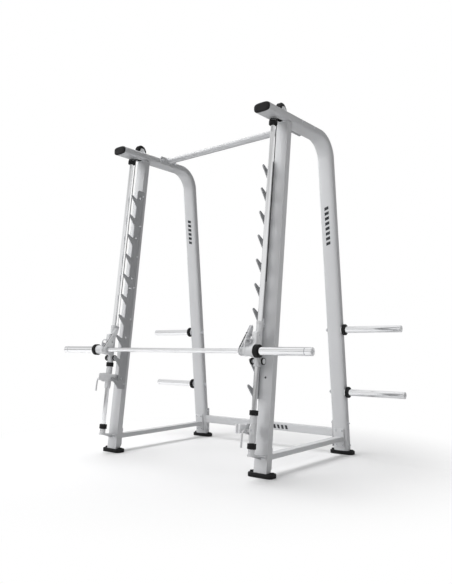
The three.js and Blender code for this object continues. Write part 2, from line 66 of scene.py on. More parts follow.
GAP = 0.0003  # the CAD's clearance between pieces that touch
ROD_RADIUS = 0.015
ROD_BORE = ROD_RADIUS + GAP
ROD_OFFSET = 0.099  # guide rod axis in front of the upright's face
ROD_BOTTOM = 0.1323

slide_axis = Vector(next(j for j in frame["joints"] if j["name"] == "carriage_slide")["axis"])
LEAN = asin(slide_axis.y)
UP_RAIL = Vector((0, sin(LEAN), cos(LEAN)))
FORWARD = Vector((0, -cos(LEAN), sin(LEAN)))

rod_low, rod_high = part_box("guide_rod_r")
SIDE_X = (rod_low.x + rod_high.x) / 2
rod_foot = Vector((0, rod_low.y + ROD_RADIUS * cos(LEAN), rod_low.z + ROD_RADIUS * sin(LEAN)))
RAIL_ORIGIN = rod_foot - ROD_OFFSET * FORWARD - ROD_BOTTOM * UP_RAIL
RAIL = Matrix.Translation(RAIL_ORIGIN) @ Matrix.Rotation(-LEAN, 4, "X")
IN_SIDE = RAIL @ Matrix.Translation((SIDE_X, 0, 0))  # the same, centred on the side frame

ARCH_WIDTH = 0.120
ARCH_THICKNESS = 0.060
ARCH_SQUARENESS = 3.5
BEND_RADIUS = 0.16
LEG_LEAN = radians(4.86)
TUBE_WALL = 0.003
arch_low, arch_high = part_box("rear_arch_r")
BEAM_TOP = arch_high.z + 0.0002
BEAM_FRONT = arch_low.y
FLOOR_TO_TUBE = arch_low.z
foot_low, foot_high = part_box("rear_foot_r")
LEG_FOOT_Y = (foot_low.y + foot_high.y) / 2 + 0.01 * tan(LEG_LEAN)
LEG = Matrix.Translation((0, LEG_FOOT_Y, 0)) @ Matrix.Rotation(LEG_LEAN, 4, "X")
IN_LEG = LEG @ Matrix.Translation((SIDE_X, 0, 0))  # the leg's own frame, centred on the leg
UPENDED = Matrix.Rotation(-pi / 2, 4, "Y")  # turns what lies along +X to stand along +Z

BAR_P = 0.186  # bar axis in the rail frame: forward of the upright's face, and up along it
BAR_Q = 0.736
SIDES = (("r", 1, "right"), ("l", -1, "left"))


def leg_y(z):
    """Centreline of the rear leg at height z."""
    return LEG_FOOT_Y - z * tan(LEG_LEAN)


def rail_point(p, q, x=SIDE_X):
    """A point p forward of the upright's face and q up along it."""
    return RAIL_ORIGIN + p * FORWARD + q * UP_RAIL + Vector((x, 0, 0))


def rail_span(node, radius):
    """Where a turned CAD node along the guide rods starts and ends, measured up the rail."""
    low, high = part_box(node)
    middle = ((low + high) / 2 - RAIL_ORIGIN).dot(UP_RAIL)
    half = (high.z - low.z - 2 * radius * sin(LEAN)) / cos(LEAN) / 2
    return middle - half, middle + half


# ---------------------------------------------------------------- mesh tools


def placed(shape, matrix):
    """The shape moved by a matrix."""
    bmesh.ops.transform(shape, matrix=matrix, verts=shape.verts)
    return shape


def mesh_of(shape, name="part"):
    """The shape as mesh data. The shape itself is used up."""
    mesh = bpy.data.meshes.new(name)
    shape.to_mesh(mesh)
    shape.free()
    return mesh


def linked(name, data):
    """A new object in the scene."""
    item = bpy.data.objects.new(name, data)
    bpy.context.scene.collection.objects.link(item)
    return item


def joined(*shapes):
    """Several shapes as one."""
    whole = bmesh.new()
    for shape in shapes:
        part = mesh_of(shape)
        whole.from_mesh(part)
        bpy.data.meshes.remove(part)
    return whole


def mirrored(shape):
    """The shape on the other side of the machine."""
    bmesh.ops.scale(shape, vec=(-1, 1, 1), verts=shape.verts)
    bmesh.ops.reverse_faces(shape, faces=shape.faces)
    return shape


def evaluated(data, cutters=()):
    """The shape that a mesh or curve becomes once Blender has evaluated it and cut it."""
    holder = linked("holder", data)
    for cutter in cutters:
        carve = holder.modifiers.new("carve", "BOOLEAN")
        carve.operation = "DIFFERENCE"
        carve.solver = "EXACT"
        carve.object = cutter
    bpy.context.view_layer.update()
    graph = bpy.context.evaluated_depsgraph_get()
    result = bpy.data.meshes.new_from_object(holder.evaluated_get(graph))
    shape = bmesh.new()
    shape.from_mesh(result)
    bpy.data.objects.remove(holder)
    bpy.data.meshes.remove(result)
    return shape


def carved(shape, *cutters):
    """The shape less the cutters."""
    tools = [linked("cutter", mesh_of(cutter)) for cutter in cutters]
    result = evaluated(mesh_of(shape), tools)
    for tool in tools:
        bpy.data.objects.remove(tool)
    return result


def turned(outline, segments=48):
    """A turned solid along +X. The outline is (distance along, radius) pairs. It either starts and
    ends on the axis, or closes on its first point and leaves a bore."""
    shape = bmesh.new()
    hollow = outline[0] == outline[-1]
    rings = []
    for along, radius in outline[:-1] if hollow else outline:
        count = segments if radius > 0 else 1
        turn = [2 * pi * i / segments for i in range(count)]
        rings.append([shape.verts.new((along, radius * cos(a), radius * sin(a))) for a in turn])
    for first, second in zip(rings, rings[1:] + ([rings[0]] if hollow else [])):
        for i in range(segments):
            corners = [first[i % len(first)], first[(i + 1) % len(first)]]
            corners += [second[(i + 1) % len(second)], second[i % len(second)]]
            shape.faces.new(list(dict.fromkeys(corners)))
    bmesh.ops.recalc_face_normals(shape, faces=shape.faces)
    return shape


def rounded(outline, radius, steps=4, closed=True):
    """An outline with each corner replaced by an arc, smaller where the sides are short."""
    points = [Vector(p) for p in outline]
    count = len(points)
    result = []
    for i, corner in enumerate(points):
        if not closed and i in (0, count - 1):
            result.append(tuple(corner))
            continue
        before, after = points[i - 1] - corner, points[(i + 1) % count] - corner
        angle = before.angle(after)
        if angle > radians(175) or radius == 0:
            result.append(tuple(corner))
            continue
        reach = min(radius / tan(angle / 2), 0.49 * before.length, 0.49 * after.length)
        start, end = corner + before.normalized() * reach, corner + after.normalized() * reach
        for k in range(steps + 1):
            t = k / steps
            result.append(tuple((1 - t) ** 2 * start + 2 * t * (1 - t) * corner + t * t * end))
    return result


def turned_soft(outline, radius, segments=48, steps=3):
    """A turned solid whose outline has soft corners."""
    hollow = outline[0] == outline[-1]
    if hollow:
        soft = rounded(outline[:-1], radius, steps)
        return turned(soft + [soft[0]], segments)
    return turned(rounded(outline, radius, steps, closed=False), segments)


def bored(profile, bore, soft, segments=56):
    """A turned solid along +X with a bore, from its outer profile of (distance along, radius)."""
    first, last = profile[0][0], profile[-1][0]
    return turned_soft([(first, bore), *profile, (last, bore), (first, bore)], soft, segments)


def washer(x0, x1, inner, outer, soft=0.001, segments=48):
    """A ring along +X with soft edges."""
    return bored([(x0, outer), (x1, outer)], inner, soft, segments)


def rod(x0, x1, radius, soft=0.001, segments=48):
    """A solid round bar along +X with soft ends."""
    return turned_soft([(x0, 0), (x0, radius), (x1, radius), (x1, 0)], soft, segments)


def block(xs, ys, zs, soft=0.002):
    """A box with rounded edges."""
    shape = bmesh.new()
    bmesh.ops.create_cube(shape, size=1)
    size = Vector((xs[1] - xs[0], ys[1] - ys[0], zs[1] - zs[0]))
    middle = Vector(((xs[0] + xs[1]) / 2, (ys[0] + ys[1]) / 2, (zs[0] + zs[1]) / 2))
    bmesh.ops.scale(shape, vec=size, verts=shape.verts)
    bmesh.ops.translate(shape, vec=middle, verts=shape.verts)
    if soft:
        width = min(soft, 0.45 * min(size))
        edges = list(shape.edges)
        bmesh.ops.bevel(shape, geom=edges, offset=width, segments=3, profile=0.5, affect="EDGES")
    return shape


def plate(outline, x0, x1, holes=(), edge=0.0007):
    """A flat plate in the rail's own plane: the outline is (forward, up) pairs, the thickness runs
    from x0 to x1, and its edges are broken by a small radius."""
    curve = bpy.data.curves.new("outline", "CURVE")
    curve.dimensions = "2D"
    curve.fill_mode = "BOTH"
    curve.extrude = (x1 - x0) / 2 - edge
    curve.bevel_depth = edge
    curve.bevel_resolution = 1
    curve.offset = -edge
    for loop in (outline, *holes):
        spline = curve.splines.new("POLY")
        spline.points.add(len(loop) - 1)
        for point, (forward, up) in zip(spline.points, loop):
            point.co = (forward, up, 0, 1)
        spline.use_cyclic_u = True
    shape = evaluated(curve)
    bpy.data.curves.remove(curve)
    bmesh.ops.remove_doubles(shape, verts=shape.verts, dist=1e-5)
    turn = Matrix(((0, 0, 1, (x0 + x1) / 2), (-1, 0, 0, 0), (0, 1, 0, 0), (0, 0, 0, 1)))
    placed(shape, turn)
    bmesh.ops.recalc_face_normals(shape, faces=shape.faces)
    return shape


def circle(a, b, radius, steps=24):
    """Points of a circle, for a plate's outline or hole."""
    turns = [2 * pi * i / steps for i in range(steps)]
    return [(a + radius * cos(turn), b + radius * sin(turn)) for turn in turns]


def slot_outline(a, b, half_length, radius, steps=8):
    """Points of an oblong hole with round ends, its length along the first axis."""
    ends = []
    for side in (1, -1):
        for i in range(steps + 1):
            angle = pi * (i / steps - 0.5)
            along = half_length + radius * cos(angle)
            ends.append((a + side * along, b + side * radius * sin(angle)))
    return ends


def superellipse(width, thickness, steps=64, power=ARCH_SQUARENESS):
    """The flat-oval section of the arch."""
    points = []
    for i in range(steps):
        c, s = cos(2 * pi * (i + 0.5) / steps), sin(2 * pi * (i + 0.5) / steps)
        across = width / 2 * abs(c) ** (2 / power) * (1 if c > 0 else -1)
        out = thickness / 2 * abs(s) ** (2 / power) * (1 if s > 0 else -1)
        points.append((across, out))
    return points


def rectangle(width, depth, radius, steps=5):
    """A rectangular tube's section with round corners."""
    corners = [(1, 1), (-1, 1), (-1, -1), (1, -1)]
    return rounded([(a * width / 2, b * depth / 2) for a, b in corners], radius, steps)


def swept(section, stations, bore=None):
    """A section carried along stations, each (point, across, out, scale). A bore makes it a tube."""
    shape = bmesh.new()

    def skin(loop):
        rings = []
        for point, across, out, scale in stations:
            rings.append([shape.verts.new(point + (a * across + b * out) * scale) for a, b in loop])
        for first, second in zip(rings, rings[1:]):
            for i in range(len(loop)):
                j = (i + 1) % len(loop)
                shape.faces.new((first[i], first[j], second[j], second[i]))
        return rings[0], rings[-1]

    ends = skin(section)
    if bore is None:
        for ring in ends:
            shape.faces.new(ring)
    else:
        for outer, inner in zip(ends, skin(bore)):
            for i in range(len(outer)):
                j = (i + 1) % len(outer)
                shape.faces.new((outer[i], outer[j], inner[j], inner[i]))
    bmesh.ops.recalc_face_normals(shape, faces=shape.faces)
    return shape


def in_plane(points):
    """Stations along a path in a plane of constant X."""
    stations = []
    for i, point in enumerate(points):
        before, after = points[max(i - 1, 0)], points[min(i + 1, len(points) - 1)]
        travel = (after - before).normalized()
        stations.append((point, Vector((1, 0, 0)), Vector((0, -travel.z, travel.y)), 1))
    return stations


def along_x(at):
    """Places a piece that was turned about the X axis."""
    return Matrix.Translation(at)


def along_rod(p=ROD_OFFSET, x=SIDE_X):
    """Places a turned piece with its axis up the guide rod."""
    return RAIL @ Matrix.Translation((x, -p, 0)) @ UPENDED


def facing(at, direction):
    """Places a piece turned along +X so that it points in a direction."""
    turn = Vector(direction).to_track_quat("X", "Z").to_matrix().to_4x4()
    return Matrix.Translation(at) @ turn


def stood(shape, at, direction):
    """A piece turned along +X, standing at a point and pointing in a direction."""
    return placed(shape, facing(at, direction))


def hex_head(across=0.017, height=0.0075, washer_radius=0.0125):
    """A hexagon head on a washer, standing on the plane x = 0."""
    corner = across / 2 / cos(pi / 6)
    top = height + 0.0012
    outline = [(0.0014, 0), (0.0014, corner), (height, corner), (top, corner * 0.84), (top, 0)]
    return joined(washer(-0.001, 0.0016, 0.004, washer_radius, 0.0005, 28), turned(outline, 6))


def button_head(radius=0.0085, height=0.0045):
    """A domed screw head with a hexagon socket."""
    dome = [(0, radius)]
    for i in range(1, 6):
        angle = pi / 2 * i / 6
        dome.append((height * sin(angle), radius * (0.45 + 0.55 * cos(angle))))
    socket = [(height, radius * 0.44), (height * 0.35, radius * 0.42), (height * 0.35, 0)]
    return turned([(-0.001, 0), (-0.001, radius)] + dome + socket, 24)


def threaded_end(radius=0.005, length=0.010, pitch=0.0015):
    """The end of a bolt beyond its nut: fine ridges and a pointed tip."""
    outline = [(0, 0), (0, radius)]
    for i in range(int(length / pitch)):
        outline += [((i + 0.5) * pitch, radius * 0.9), ((i + 1) * pitch, radius)]
    outline += [(length + 0.001, radius * 0.7), (length + 0.001, 0)]
    return turned(outline, 20)


# ---------------------------------------------------------------- finishes

Finish = namedtuple("Finish", "material slot")


def with_inputs(node, **values):
    """The node with plain values on its own input sockets."""
    for name, value in values.items():
        node.inputs[name.replace("_", " ").title().replace("Ior", "IOR")].default_value = value
    return node


class Painter:
    """A Principled material with the few procedural nodes that every finish here is made of."""

    def __init__(self, name):
        self.material = bpy.data.materials.new(name)
        self.material.use_nodes = True
        self.tree = self.material.node_tree
        self.shader = self.tree.nodes["Principled BSDF"]
        self.coords = self.tree.nodes.new("ShaderNodeTexCoord")

    def noise(self, scale, detail=3.0, stretch=(1, 1, 1), rough=0.5):
        """Noise in the object's own metres, stretched along an axis for drawn or rolled marks."""
        mapping = with_inputs(self.tree.nodes.new("ShaderNodeMapping"), scale=stretch)
        self.tree.links.new(self.coords.outputs["Object"], mapping.inputs["Vector"])
        noise = self.tree.nodes.new("ShaderNodeTexNoise")
        with_inputs(noise, scale=scale, detail=detail, roughness=rough)
        self.tree.links.new(mapping.outputs["Vector"], noise.inputs["Vector"])
        return noise.outputs["Fac"]

    def ranged(self, factor, low, high, start=0.3, end=0.7):
        """A factor spread between two numbers."""
        node = self.tree.nodes.new("ShaderNodeMapRange")
        with_inputs(node, from_min=start, from_max=end, to_min=low, to_max=high)
        self.tree.links.new(factor, node.inputs["Value"])
        return node.outputs["Result"]

    def blended(self, factor, low, high):
        """A colour between two, by a factor from 0 to 1."""
        node = self.tree.nodes.new("ShaderNodeMix")
        node.data_type = "RGBA"
        self.tree.links.new(factor, node.inputs["Factor"])
        for name, colour in (("A", low), ("B", high)):
            socket = next(s for s in node.inputs if s.name == name and s.type == "RGBA")
            if isinstance(colour, bpy.types.NodeSocket):
                self.tree.links.new(colour, socket)
            else:
                socket.default_value = (*colour, 1)
        return next(s for s in node.outputs if s.type == "RGBA")

    def colour(self, socket):
        self.tree.links.new(socket, self.shader.inputs["Base Color"])

    def roughness(self, socket):
        self.tree.links.new(socket, self.shader.inputs["Roughness"])

    def bump(self, height, strength, distance, under=None):
        """A bump laid on the shader, over an earlier one if there is one."""
        node = self.tree.nodes.new("ShaderNodeBump")
        with_inputs(node, strength=strength, distance=distance)
        self.tree.links.new(height, node.inputs["Height"])
        if under is not None:
            self.tree.links.new(under, node.inputs["Normal"])
        self.tree.links.new(node.outputs["Normal"], self.shader.inputs["Normal"])
        return node.outputs["Normal"]


def scaled(colour, factor):
    """A colour made darker or brighter."""
    return tuple(min(1.0, c * factor) for c in colour)


def powder_coat(name, slot, colour, rough=0.50, metallic=0.05):
    """Satin metallic powder coat: faint cloudiness, fine flake and orange peel."""
    paint = Painter(name)
    with_inputs(paint.shader, metallic=metallic, coat_weight=0.35, coat_roughness=0.22)
    cloud = paint.ranged(paint.noise(2.2, 4), 0, 1)
    flake = paint.ranged(paint.noise(1400, 1), 0, 1)
    base = paint.blended(cloud, scaled(colour, 0.965), scaled(colour, 1.02))
    bright = paint.blended(cloud, scaled(colour, 1.03), scaled(colour, 1.09))
    paint.colour(paint.blended(paint.ranged(flake, 0, 0.5), base, bright))
    paint.roughness(paint.ranged(paint.noise(9, 5), rough - 0.05, rough + 0.06))
    peel = paint.bump(paint.noise(260, 2), 0.12, 0.0004)
    paint.bump(paint.noise(1900, 1), 0.05, 0.0001, peel)
    return Finish(paint.material, slot)


def polished(name, slot, colour, rough=0.09, stretch=(0.04, 1, 1)):
    """Chrome plate: fine marks drawn along one axis and a faint haze."""
    metal = Painter(name)
    with_inputs(metal.shader, metallic=1.0)
    haze = metal.ranged(metal.noise(14, 4), 0, 1)
    metal.colour(metal.blended(haze, scaled(colour, 0.97), colour))
    drawn = metal.noise(900, 3, stretch)
    metal.roughness(metal.ranged(drawn, rough - 0.03, rough + 0.07))
    metal.bump(drawn, 0.03, 0.0001)
    return Finish(metal.material, slot)


def satin_metal(name, slot, colour, rough=0.34, metallic=0.75, grain=700, relief=0.08):
    """Bead-blasted or zinc-plated metal: a fine even grain with soft patches."""
    metal = Painter(name)
    with_inputs(metal.shader, metallic=metallic)
    patch = metal.ranged(metal.noise(18, 5), 0, 1)
    metal.colour(metal.blended(patch, scaled(colour, 0.93), scaled(colour, 1.03)))
    metal.roughness(metal.ranged(metal.noise(60, 4), rough - 0.07, rough + 0.08))
    metal.bump(metal.noise(grain, 2), relief, 0.0003)
    return Finish(metal.material, slot)


def moulded(name, slot, colour, rough, grain=1100, relief=0.25, dust=1.6):
    """Rubber or plastic: a moulded grain, worn a little paler in patches."""
    stuff = Painter(name)
    with_inputs(stuff.shader, specular_ior_level=0.22)
    patch = stuff.ranged(stuff.noise(26, 5, rough=0.6), 0, 1, 0.42, 0.75)
    stuff.colour(stuff.blended(patch, colour, scaled(colour, dust)))
    stuff.roughness(stuff.ranged(stuff.noise(80, 4), rough - 0.07, rough + 0.08))
    stuff.bump(stuff.noise(grain, 3), relief, 0.0003)
    return Finish(stuff.material, slot)


SILVER = powder_coat("silver_powder_coat", "frame_paint", (0.50, 0.505, 0.515))
GREY_PAINT = powder_coat("grey_powder_coat", "plate_paint", (0.33, 0.335, 0.345), rough=0.52)
BAR_PAINT = powder_coat("satin_pull_bar", "frame_paint", (0.46, 0.465, 0.475), rough=0.38, metallic=0.35)
CAST = satin_metal("carriage_alloy", "carriage_cast", (0.60, 0.605, 0.615), rough=0.40, metallic=0.5)
STEEL = satin_metal("satin_steel", "light_steel", (0.56, 0.565, 0.575), rough=0.36, metallic=0.6)
# A paler copy of the satin steel; on the safety stops' guide plate and cheeks its extra brightness is
# painted light against their shade
LATCH_STEEL = satin_metal("latch_steel", "light_steel", (0.74, 0.745, 0.755), rough=0.38, metallic=0.4)
ZINC = satin_metal("zinc_plate", "light_steel", (0.62, 0.63, 0.65), rough=0.27, metallic=0.9, grain=1500)
IRON = satin_metal(
    "counterweight_iron", "raw_steel", (0.14, 0.142, 0.147), rough=0.6, metallic=0.5, relief=0.3
)
CHROME = polished("chrome_drawn_x", "chrome", (0.88, 0.885, 0.895))
ROD_CHROME = polished("chrome_drawn_z", "chrome", (0.84, 0.845, 0.855), stretch=(1, 1, 0.04))
RUBBER = moulded("black_rubber", "rubber", (0.008, 0.008, 0.0085), 0.66)
PLASTIC = moulded("black_plastic", "black_plastic", (0.009, 0.009, 0.0095), 0.5, grain=1700, relief=0.12)
JACKET = moulded("cable_jacket", "cable", (0.020, 0.020, 0.021), 0.4, grain=2200, relief=0.1)
WIRE = satin_metal("wire_rope", "cable", (0.30, 0.305, 0.31), rough=0.36, metallic=0.9, grain=2600)
GRAPHITE = moulded("graphite_film", "black_plastic", (0.030, 0.031, 0.034), 0.5, grain=2400, relief=0.05)


# ---------------------------------------------------------------- pieces


def piece(name, shape, finish, body, stands_for=(), sharp=34, run=None):
    """A finished mesh on a CAD body, standing for the CAD nodes that it replaces. A run of cable is
    left where it is drawn, with its placing applied, on no body."""
    mesh = mesh_of(shape, name)
    mesh.materials.append(finish.material)
    mesh.polygons.foreach_set("use_smooth", [True] * len(mesh.polygons))
    mesh.set_sharp_from_angle(angle=radians(sharp))
    item = linked(name, mesh)
    if run:
        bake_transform(item)
    else:
        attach(item, body)
    if stands_for:
        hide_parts(*stands_for)


def pair(name, build, finish, body="frame", stands_for="", sharp=34):
    """The same piece on both side frames. A body or node name may hold {side} or {word}."""
    for side, sign, word in SIDES:
        shape = build() if sign > 0 else mirrored(build())
        nodes = [stands_for.format(side=side)] if stands_for else []
        piece(f"{name}_{side}", shape, finish, body.format(word=word), nodes, sharp)


# ---------------------------------------------------------------- rear arch and front upright


def arch_path(start=BEAM_FRONT, end_z=-0.01):
    """Centreline of the arch: along the beam, round the bend, down the rear leg."""
    beam_z = BEAM_TOP - ARCH_THICKNESS / 2
    turn = pi / 2 - LEG_LEAN
    bend_y = leg_y(beam_z) - BEND_RADIUS * tan(turn / 2)
    steps = 28
    points = [Vector((SIDE_X, start, beam_z))]
    for i in range(steps + 1):
        angle = turn * i / steps
        z = beam_z - BEND_RADIUS * (1 - cos(angle))
        points.append(Vector((SIDE_X, bend_y + BEND_RADIUS * sin(angle), z)))
    points.append(Vector((SIDE_X, leg_y(end_z), end_z)))
    return points


def arch_solid(grow=0.0):
    """The arch's outside as a solid, grown by a clearance."""
    return swept(superellipse(ARCH_WIDTH + 2 * grow, ARCH_THICKNESS + 2 * grow), in_plane(arch_path()))


def below_tubes(gap=0.0):
    """Everything under the tubes' cut ends, which stand on the rubber feet."""
    return block((-1, 1), (-1, 1), (-0.2, FLOOR_TO_TUBE - gap), soft=0)


PULLEY_P = 0.019
PULLEY_Q = 2.348
PULLEY_PITCH = 0.043
ROD_POCKET = (2.2, 2.295)  # up the rail: the rod's end is held in a hole through the beam's underside
pulley_centre = rail_point(PULLEY_P, PULLEY_Q)


def rear_arch():
    """The tube, with a slot in the beam for the pulley and a hole under it for the rod's end."""
    wall = superellipse(ARCH_WIDTH - 2 * TUBE_WALL, ARCH_THICKNESS - 2 * TUBE_WALL)
    tube = swept(superellipse(ARCH_WIDTH, ARCH_THICKNESS), in_plane(arch_path()), wall)
    slot = block(
        (SIDE_X - 0.017, SIDE_X + 0.017),
        (pulley_centre.y - 0.064, pulley_centre.y + 0.071),
        (BEAM_TOP - 0.075, BEAM_TOP + 0.02),
        soft=0.008,
    )
    start, end = ROD_POCKET
    hole = turned([(start, 0), (start, ROD_BORE), (end, ROD_BORE), (end, 0)])
    return carved(tube, below_tubes(), slot, placed(hole, along_rod()))


CAP_DOME = (  # share of the cap's depth, and of the beam's section
    (0, 0.55), (0.02, 0.74), (0.08, 0.84), (0.2, 0.92), (0.4, 0.97), (0.65, 0.99), (1, 0.995),
)


def end_cap():
    """The plug in the front of the beam: a shallow dome with a stepped rim."""
    low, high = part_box("beam_end_cap_r")
    stations = []
    for share, scale in CAP_DOME:
        point = Vector((SIDE_X, low.y + (high.y - low.y) * share, BEAM_TOP - ARCH_THICKNESS / 2))
        stations.append((point, Vector((1, 0, 0)), Vector((0, 0, 1)), scale))
    return swept(superellipse(ARCH_WIDTH, ARCH_THICKNESS), stations)


UPRIGHT_WIDTH = 0.096
UPRIGHT_DEPTH = 0.048
UPRIGHT_CORNER = 0.0045
GROMMET_AT = rail_point(0, 0.594, SIDE_X - 0.002)


def front_upright():
    """The leaning tube, cut to the beam above and level below, with a small hole in its face."""
    section = rectangle(UPRIGHT_WIDTH, UPRIGHT_DEPTH, UPRIGHT_CORNER)
    wall = rectangle(UPRIGHT_WIDTH - 2 * TUBE_WALL, UPRIGHT_DEPTH - 2 * TUBE_WALL, 0.003)
    points = [rail_point(-UPRIGHT_DEPTH / 2, q) for q in (-0.02, 0.75, 1.5, 2.275)]
    tube = swept(section, in_plane(points), wall)
    hole = stood(rod(-0.006, 0.006, 0.0055, 0), GROMMET_AT, FORWARD)
    return carved(tube, below_tubes(), arch_solid(GAP), hole)


def hole_liner():
    """A dark grommet in the small hole in the upright's face."""
    return stood(washer(-0.004, 0.0012, 0.003, 0.0068, 0.0006, 28), GROMMET_AT, FORWARD)


def upright_weld():
    """The weld between the upright and the beam, a bead along the front and one along the back."""
    bead = []
    for p in (0.002, -UPRIGHT_DEPTH - 0.002):
        q = (BEAM_TOP - ARCH_THICKNESS - RAIL_ORIGIN.z - p * sin(LEAN)) / cos(LEAN)
        bead.append(placed(ripple(0.072, 0.0042), Matrix.Translation(rail_point(p, q))))
    return joined(*bead)


def ripple(length, radius, pitch=0.004):
    """A weld bead along X with the ripples of its passes."""
    count = max(6, int(length / pitch) * 2)
    outline = [(-length / 2, 0)]
    for i in range(count + 1):
        taper = min(1.0, 0.45 + 0.35 * min(i, count - i))
        swell = 1.0 if i % 2 else 0.86
        outline.append((-length / 2 + length * i / count, radius * taper * swell))
    outline.append((length / 2, 0))
    return turned(outline, 14)


pair("rear_arch", rear_arch, SILVER, stands_for="rear_arch_{side}")
pair("end_cap", end_cap, PLASTIC, stands_for="beam_end_cap_{side}")
pair("front_upright", front_upright, SILVER, stands_for="front_upright_{side}")
pair("upright_grommet", hole_liner, PLASTIC)
pair("upright_weld", upright_weld, SILVER, sharp=60)


# ---------------------------------------------------------------- base

RAIL_Z = 0.111
RAIL_SECTION = (0.06, 0.032)
FLANGE_BACK = -UPRIGHT_DEPTH - GAP


def side_rail():
    """The base rail with a flange against the upright's back and one on the leg's front."""
    start = rail_point(FLANGE_BACK - 0.006, RAIL_Z)
    start.z = RAIL_Z
    end = Vector((SIDE_X, leg_y(RAIL_Z) - ARCH_THICKNESS / 2 - 0.004, RAIL_Z))
    rail = swept(rectangle(*RAIL_SECTION, 0.005), in_plane([start, end]))
    front = block((-0.046, 0.046), (-FLANGE_BACK, -FLANGE_BACK + 0.008), (0.048, 0.178), 0.003)
    rear = block((-0.038, 0.038), (-0.038, -0.0285), (0.055, 0.190), 0.003)
    return joined(rail, placed(front, IN_SIDE), placed(rear, IN_LEG))


def side_rail_bolts():
    """Hexagon heads on the upright's flange and domed heads on the leg's."""
    bolts = []
    for q in (0.066, 0.160):
        for dx in (-0.03, 0.03):
            at = rail_point(FLANGE_BACK - 0.008, q, SIDE_X + dx)
            bolts.append(stood(hex_head(), at, -FORWARD))
    leg_front = (LEG.to_3x3() @ Vector((0, -1, 0))).normalized()
    for z in (0.070, 0.176):
        for dx in (-0.024, 0.024):
            at = LEG @ Vector((SIDE_X + dx, -0.0378, z))
            bolts.append(stood(button_head(0.0085, 0.005), at, leg_front))
    return joined(*bolts)


def leg_side_bolts():
    """Bolts of the crossmember's flange, their heads on the leg's outer edge."""
    at = [(arch_high.x - 0.0005, leg_y(z), z) for z in FLANGE_BOLTS]
    return joined(*[stood(acorn_nut(), point, (1, 0, 0)) for point in at])


def acorn_nut(across=0.017, height=0.006, dome=0.0068, washer_radius=0.0115):
    """A capped nut on a washer."""
    corner = across / 2 / cos(pi / 6)
    top = height + 0.001
    body = [(0.0012, 0), (0.0012, corner), (height, corner), (top, corner * 0.86), (top, 0)]
    cap = [(height, 0), (height, dome)]
    for i in range(1, 6):
        angle = pi / 2 * i / 6
        cap.append((height + 0.0065 * sin(angle), dome * cos(angle)))
    cap.append((height + 0.0065, 0))
    ring = washer(-0.002, 0.0014, 0.004, washer_radius, 0.0005, 28)
    return joined(ring, turned(body, 6), turned(cap, 24))


CROSS_Z = 0.151
CROSS_END = 0.6185
CROSS_SECTION = (0.036, 0.060)
CROSS_PLATE = 0.008
FLANGE_BOLTS = (0.068, 0.222)


def rear_crossmember():
    """Rectangular tube with an end plate welded on, against each leg's inner edge."""
    y = leg_y(CROSS_Z)
    low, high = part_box("rear_crossmember")
    stations = []
    for x in (-CROSS_END, CROSS_END):
        stations.append((Vector((x, y - 0.002, CROSS_Z)), Vector((0, 1, 0)), Vector((0, 0, 1)), 1))
    bar = swept(rectangle(*CROSS_SECTION, 0.005), stations)
    plates = []
    for sign in (1, -1):
        xs = sorted((sign * (arch_low.x - CROSS_PLATE), sign * arch_low.x))
        plates.append(block(xs, (y - 0.020, y + 0.021), (low.z, high.z), 0.003))
    return joined(bar, *plates)


def crossmember_bolts():
    """The other ends of those bolts, on the crossmember's end plates."""
    at = [(arch_low.x - CROSS_PLATE, leg_y(z), z) for z in FLANGE_BOLTS]
    return joined(*[stood(hex_head(0.015, 0.0065, 0.0105), point, (-1, 0, 0)) for point in at])


SHOE_CORNER = 0.028
BOSS_AT = 0.073
SHOE_LEVELS = (  # height, and how far the outline is drawn in there
    (0, 0.0035), (0.0012, 0.001), (0.0035, 0), (0.0095, 0), (0.0102, 0.0018),
    (0.0118, 0.0018), (0.0125, 0), (0.0210, 0), (0.0245, 0.0012), (0.0260, 0.0042),
)


def rear_tube():
    """The end of the rear leg, a little oversize, for the recess in its shoe."""
    return carved(arch_solid(GAP), below_tubes(GAP))


def front_tube():
    """The same for the front upright."""
    section = rectangle(UPRIGHT_WIDTH + 2 * GAP, UPRIGHT_DEPTH + 2 * GAP, UPRIGHT_CORNER)
    points = [rail_point(-UPRIGHT_DEPTH / 2, q) for q in (-0.02, 0.1, 0.2)]
    return carved(swept(section, in_plane(points)), below_tubes(GAP))


def rubber_foot(node, tube):
    """A rubber shoe: a pad with a groove round it, a recess for the tube, and a boss at each end."""
    low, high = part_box(node)
    middle = (low + high) / 2
    half, deep = (high.x - low.x) / 2, (high.y - low.y) / 2
    at = along_x((middle.x, middle.y, 0))
    layers = [shoe_layer(half, deep, inset) for _, inset in SHOE_LEVELS]
    pad = placed(stacked(layers, [height for height, _ in SHOE_LEVELS]), at)
    bosses = []
    for sign in (1, -1):
        boss = [(0.004, 0), (0.004, 0.0152), (high.z, 0.0132), (high.z, 0)]
        where = at @ facing((sign * BOSS_AT, 0, 0), (0, 0, 1))
        bosses.append(placed(turned_soft(boss, 0.004, 36, 5), where))
    return joined(carved(pad, tube), *bosses)


def shoe_layer(half, deep, inset):
    """One level of the shoe's outline, drawn in by an inset."""
    points = []
    for across, back, start in ((1, -1, -0.5), (1, 1, 0), (-1, 1, 0.5), (-1, -1, 1)):
        for i in range(9):
            angle = pi * (start + i / 16)
            x = across * (half - SHOE_CORNER) + (SHOE_CORNER - inset) * cos(angle)
            y = back * (deep - SHOE_CORNER) + (SHOE_CORNER - inset) * sin(angle)
            points.append((x, y))
    return points


def stacked(layers, heights):
    """A solid through level outlines, all with the same number of points."""
    shape = bmesh.new()
    rings = [[shape.verts.new((x, y, z)) for x, y in layer] for layer, z in zip(layers, heights)]
    return skinned(shape, rings)


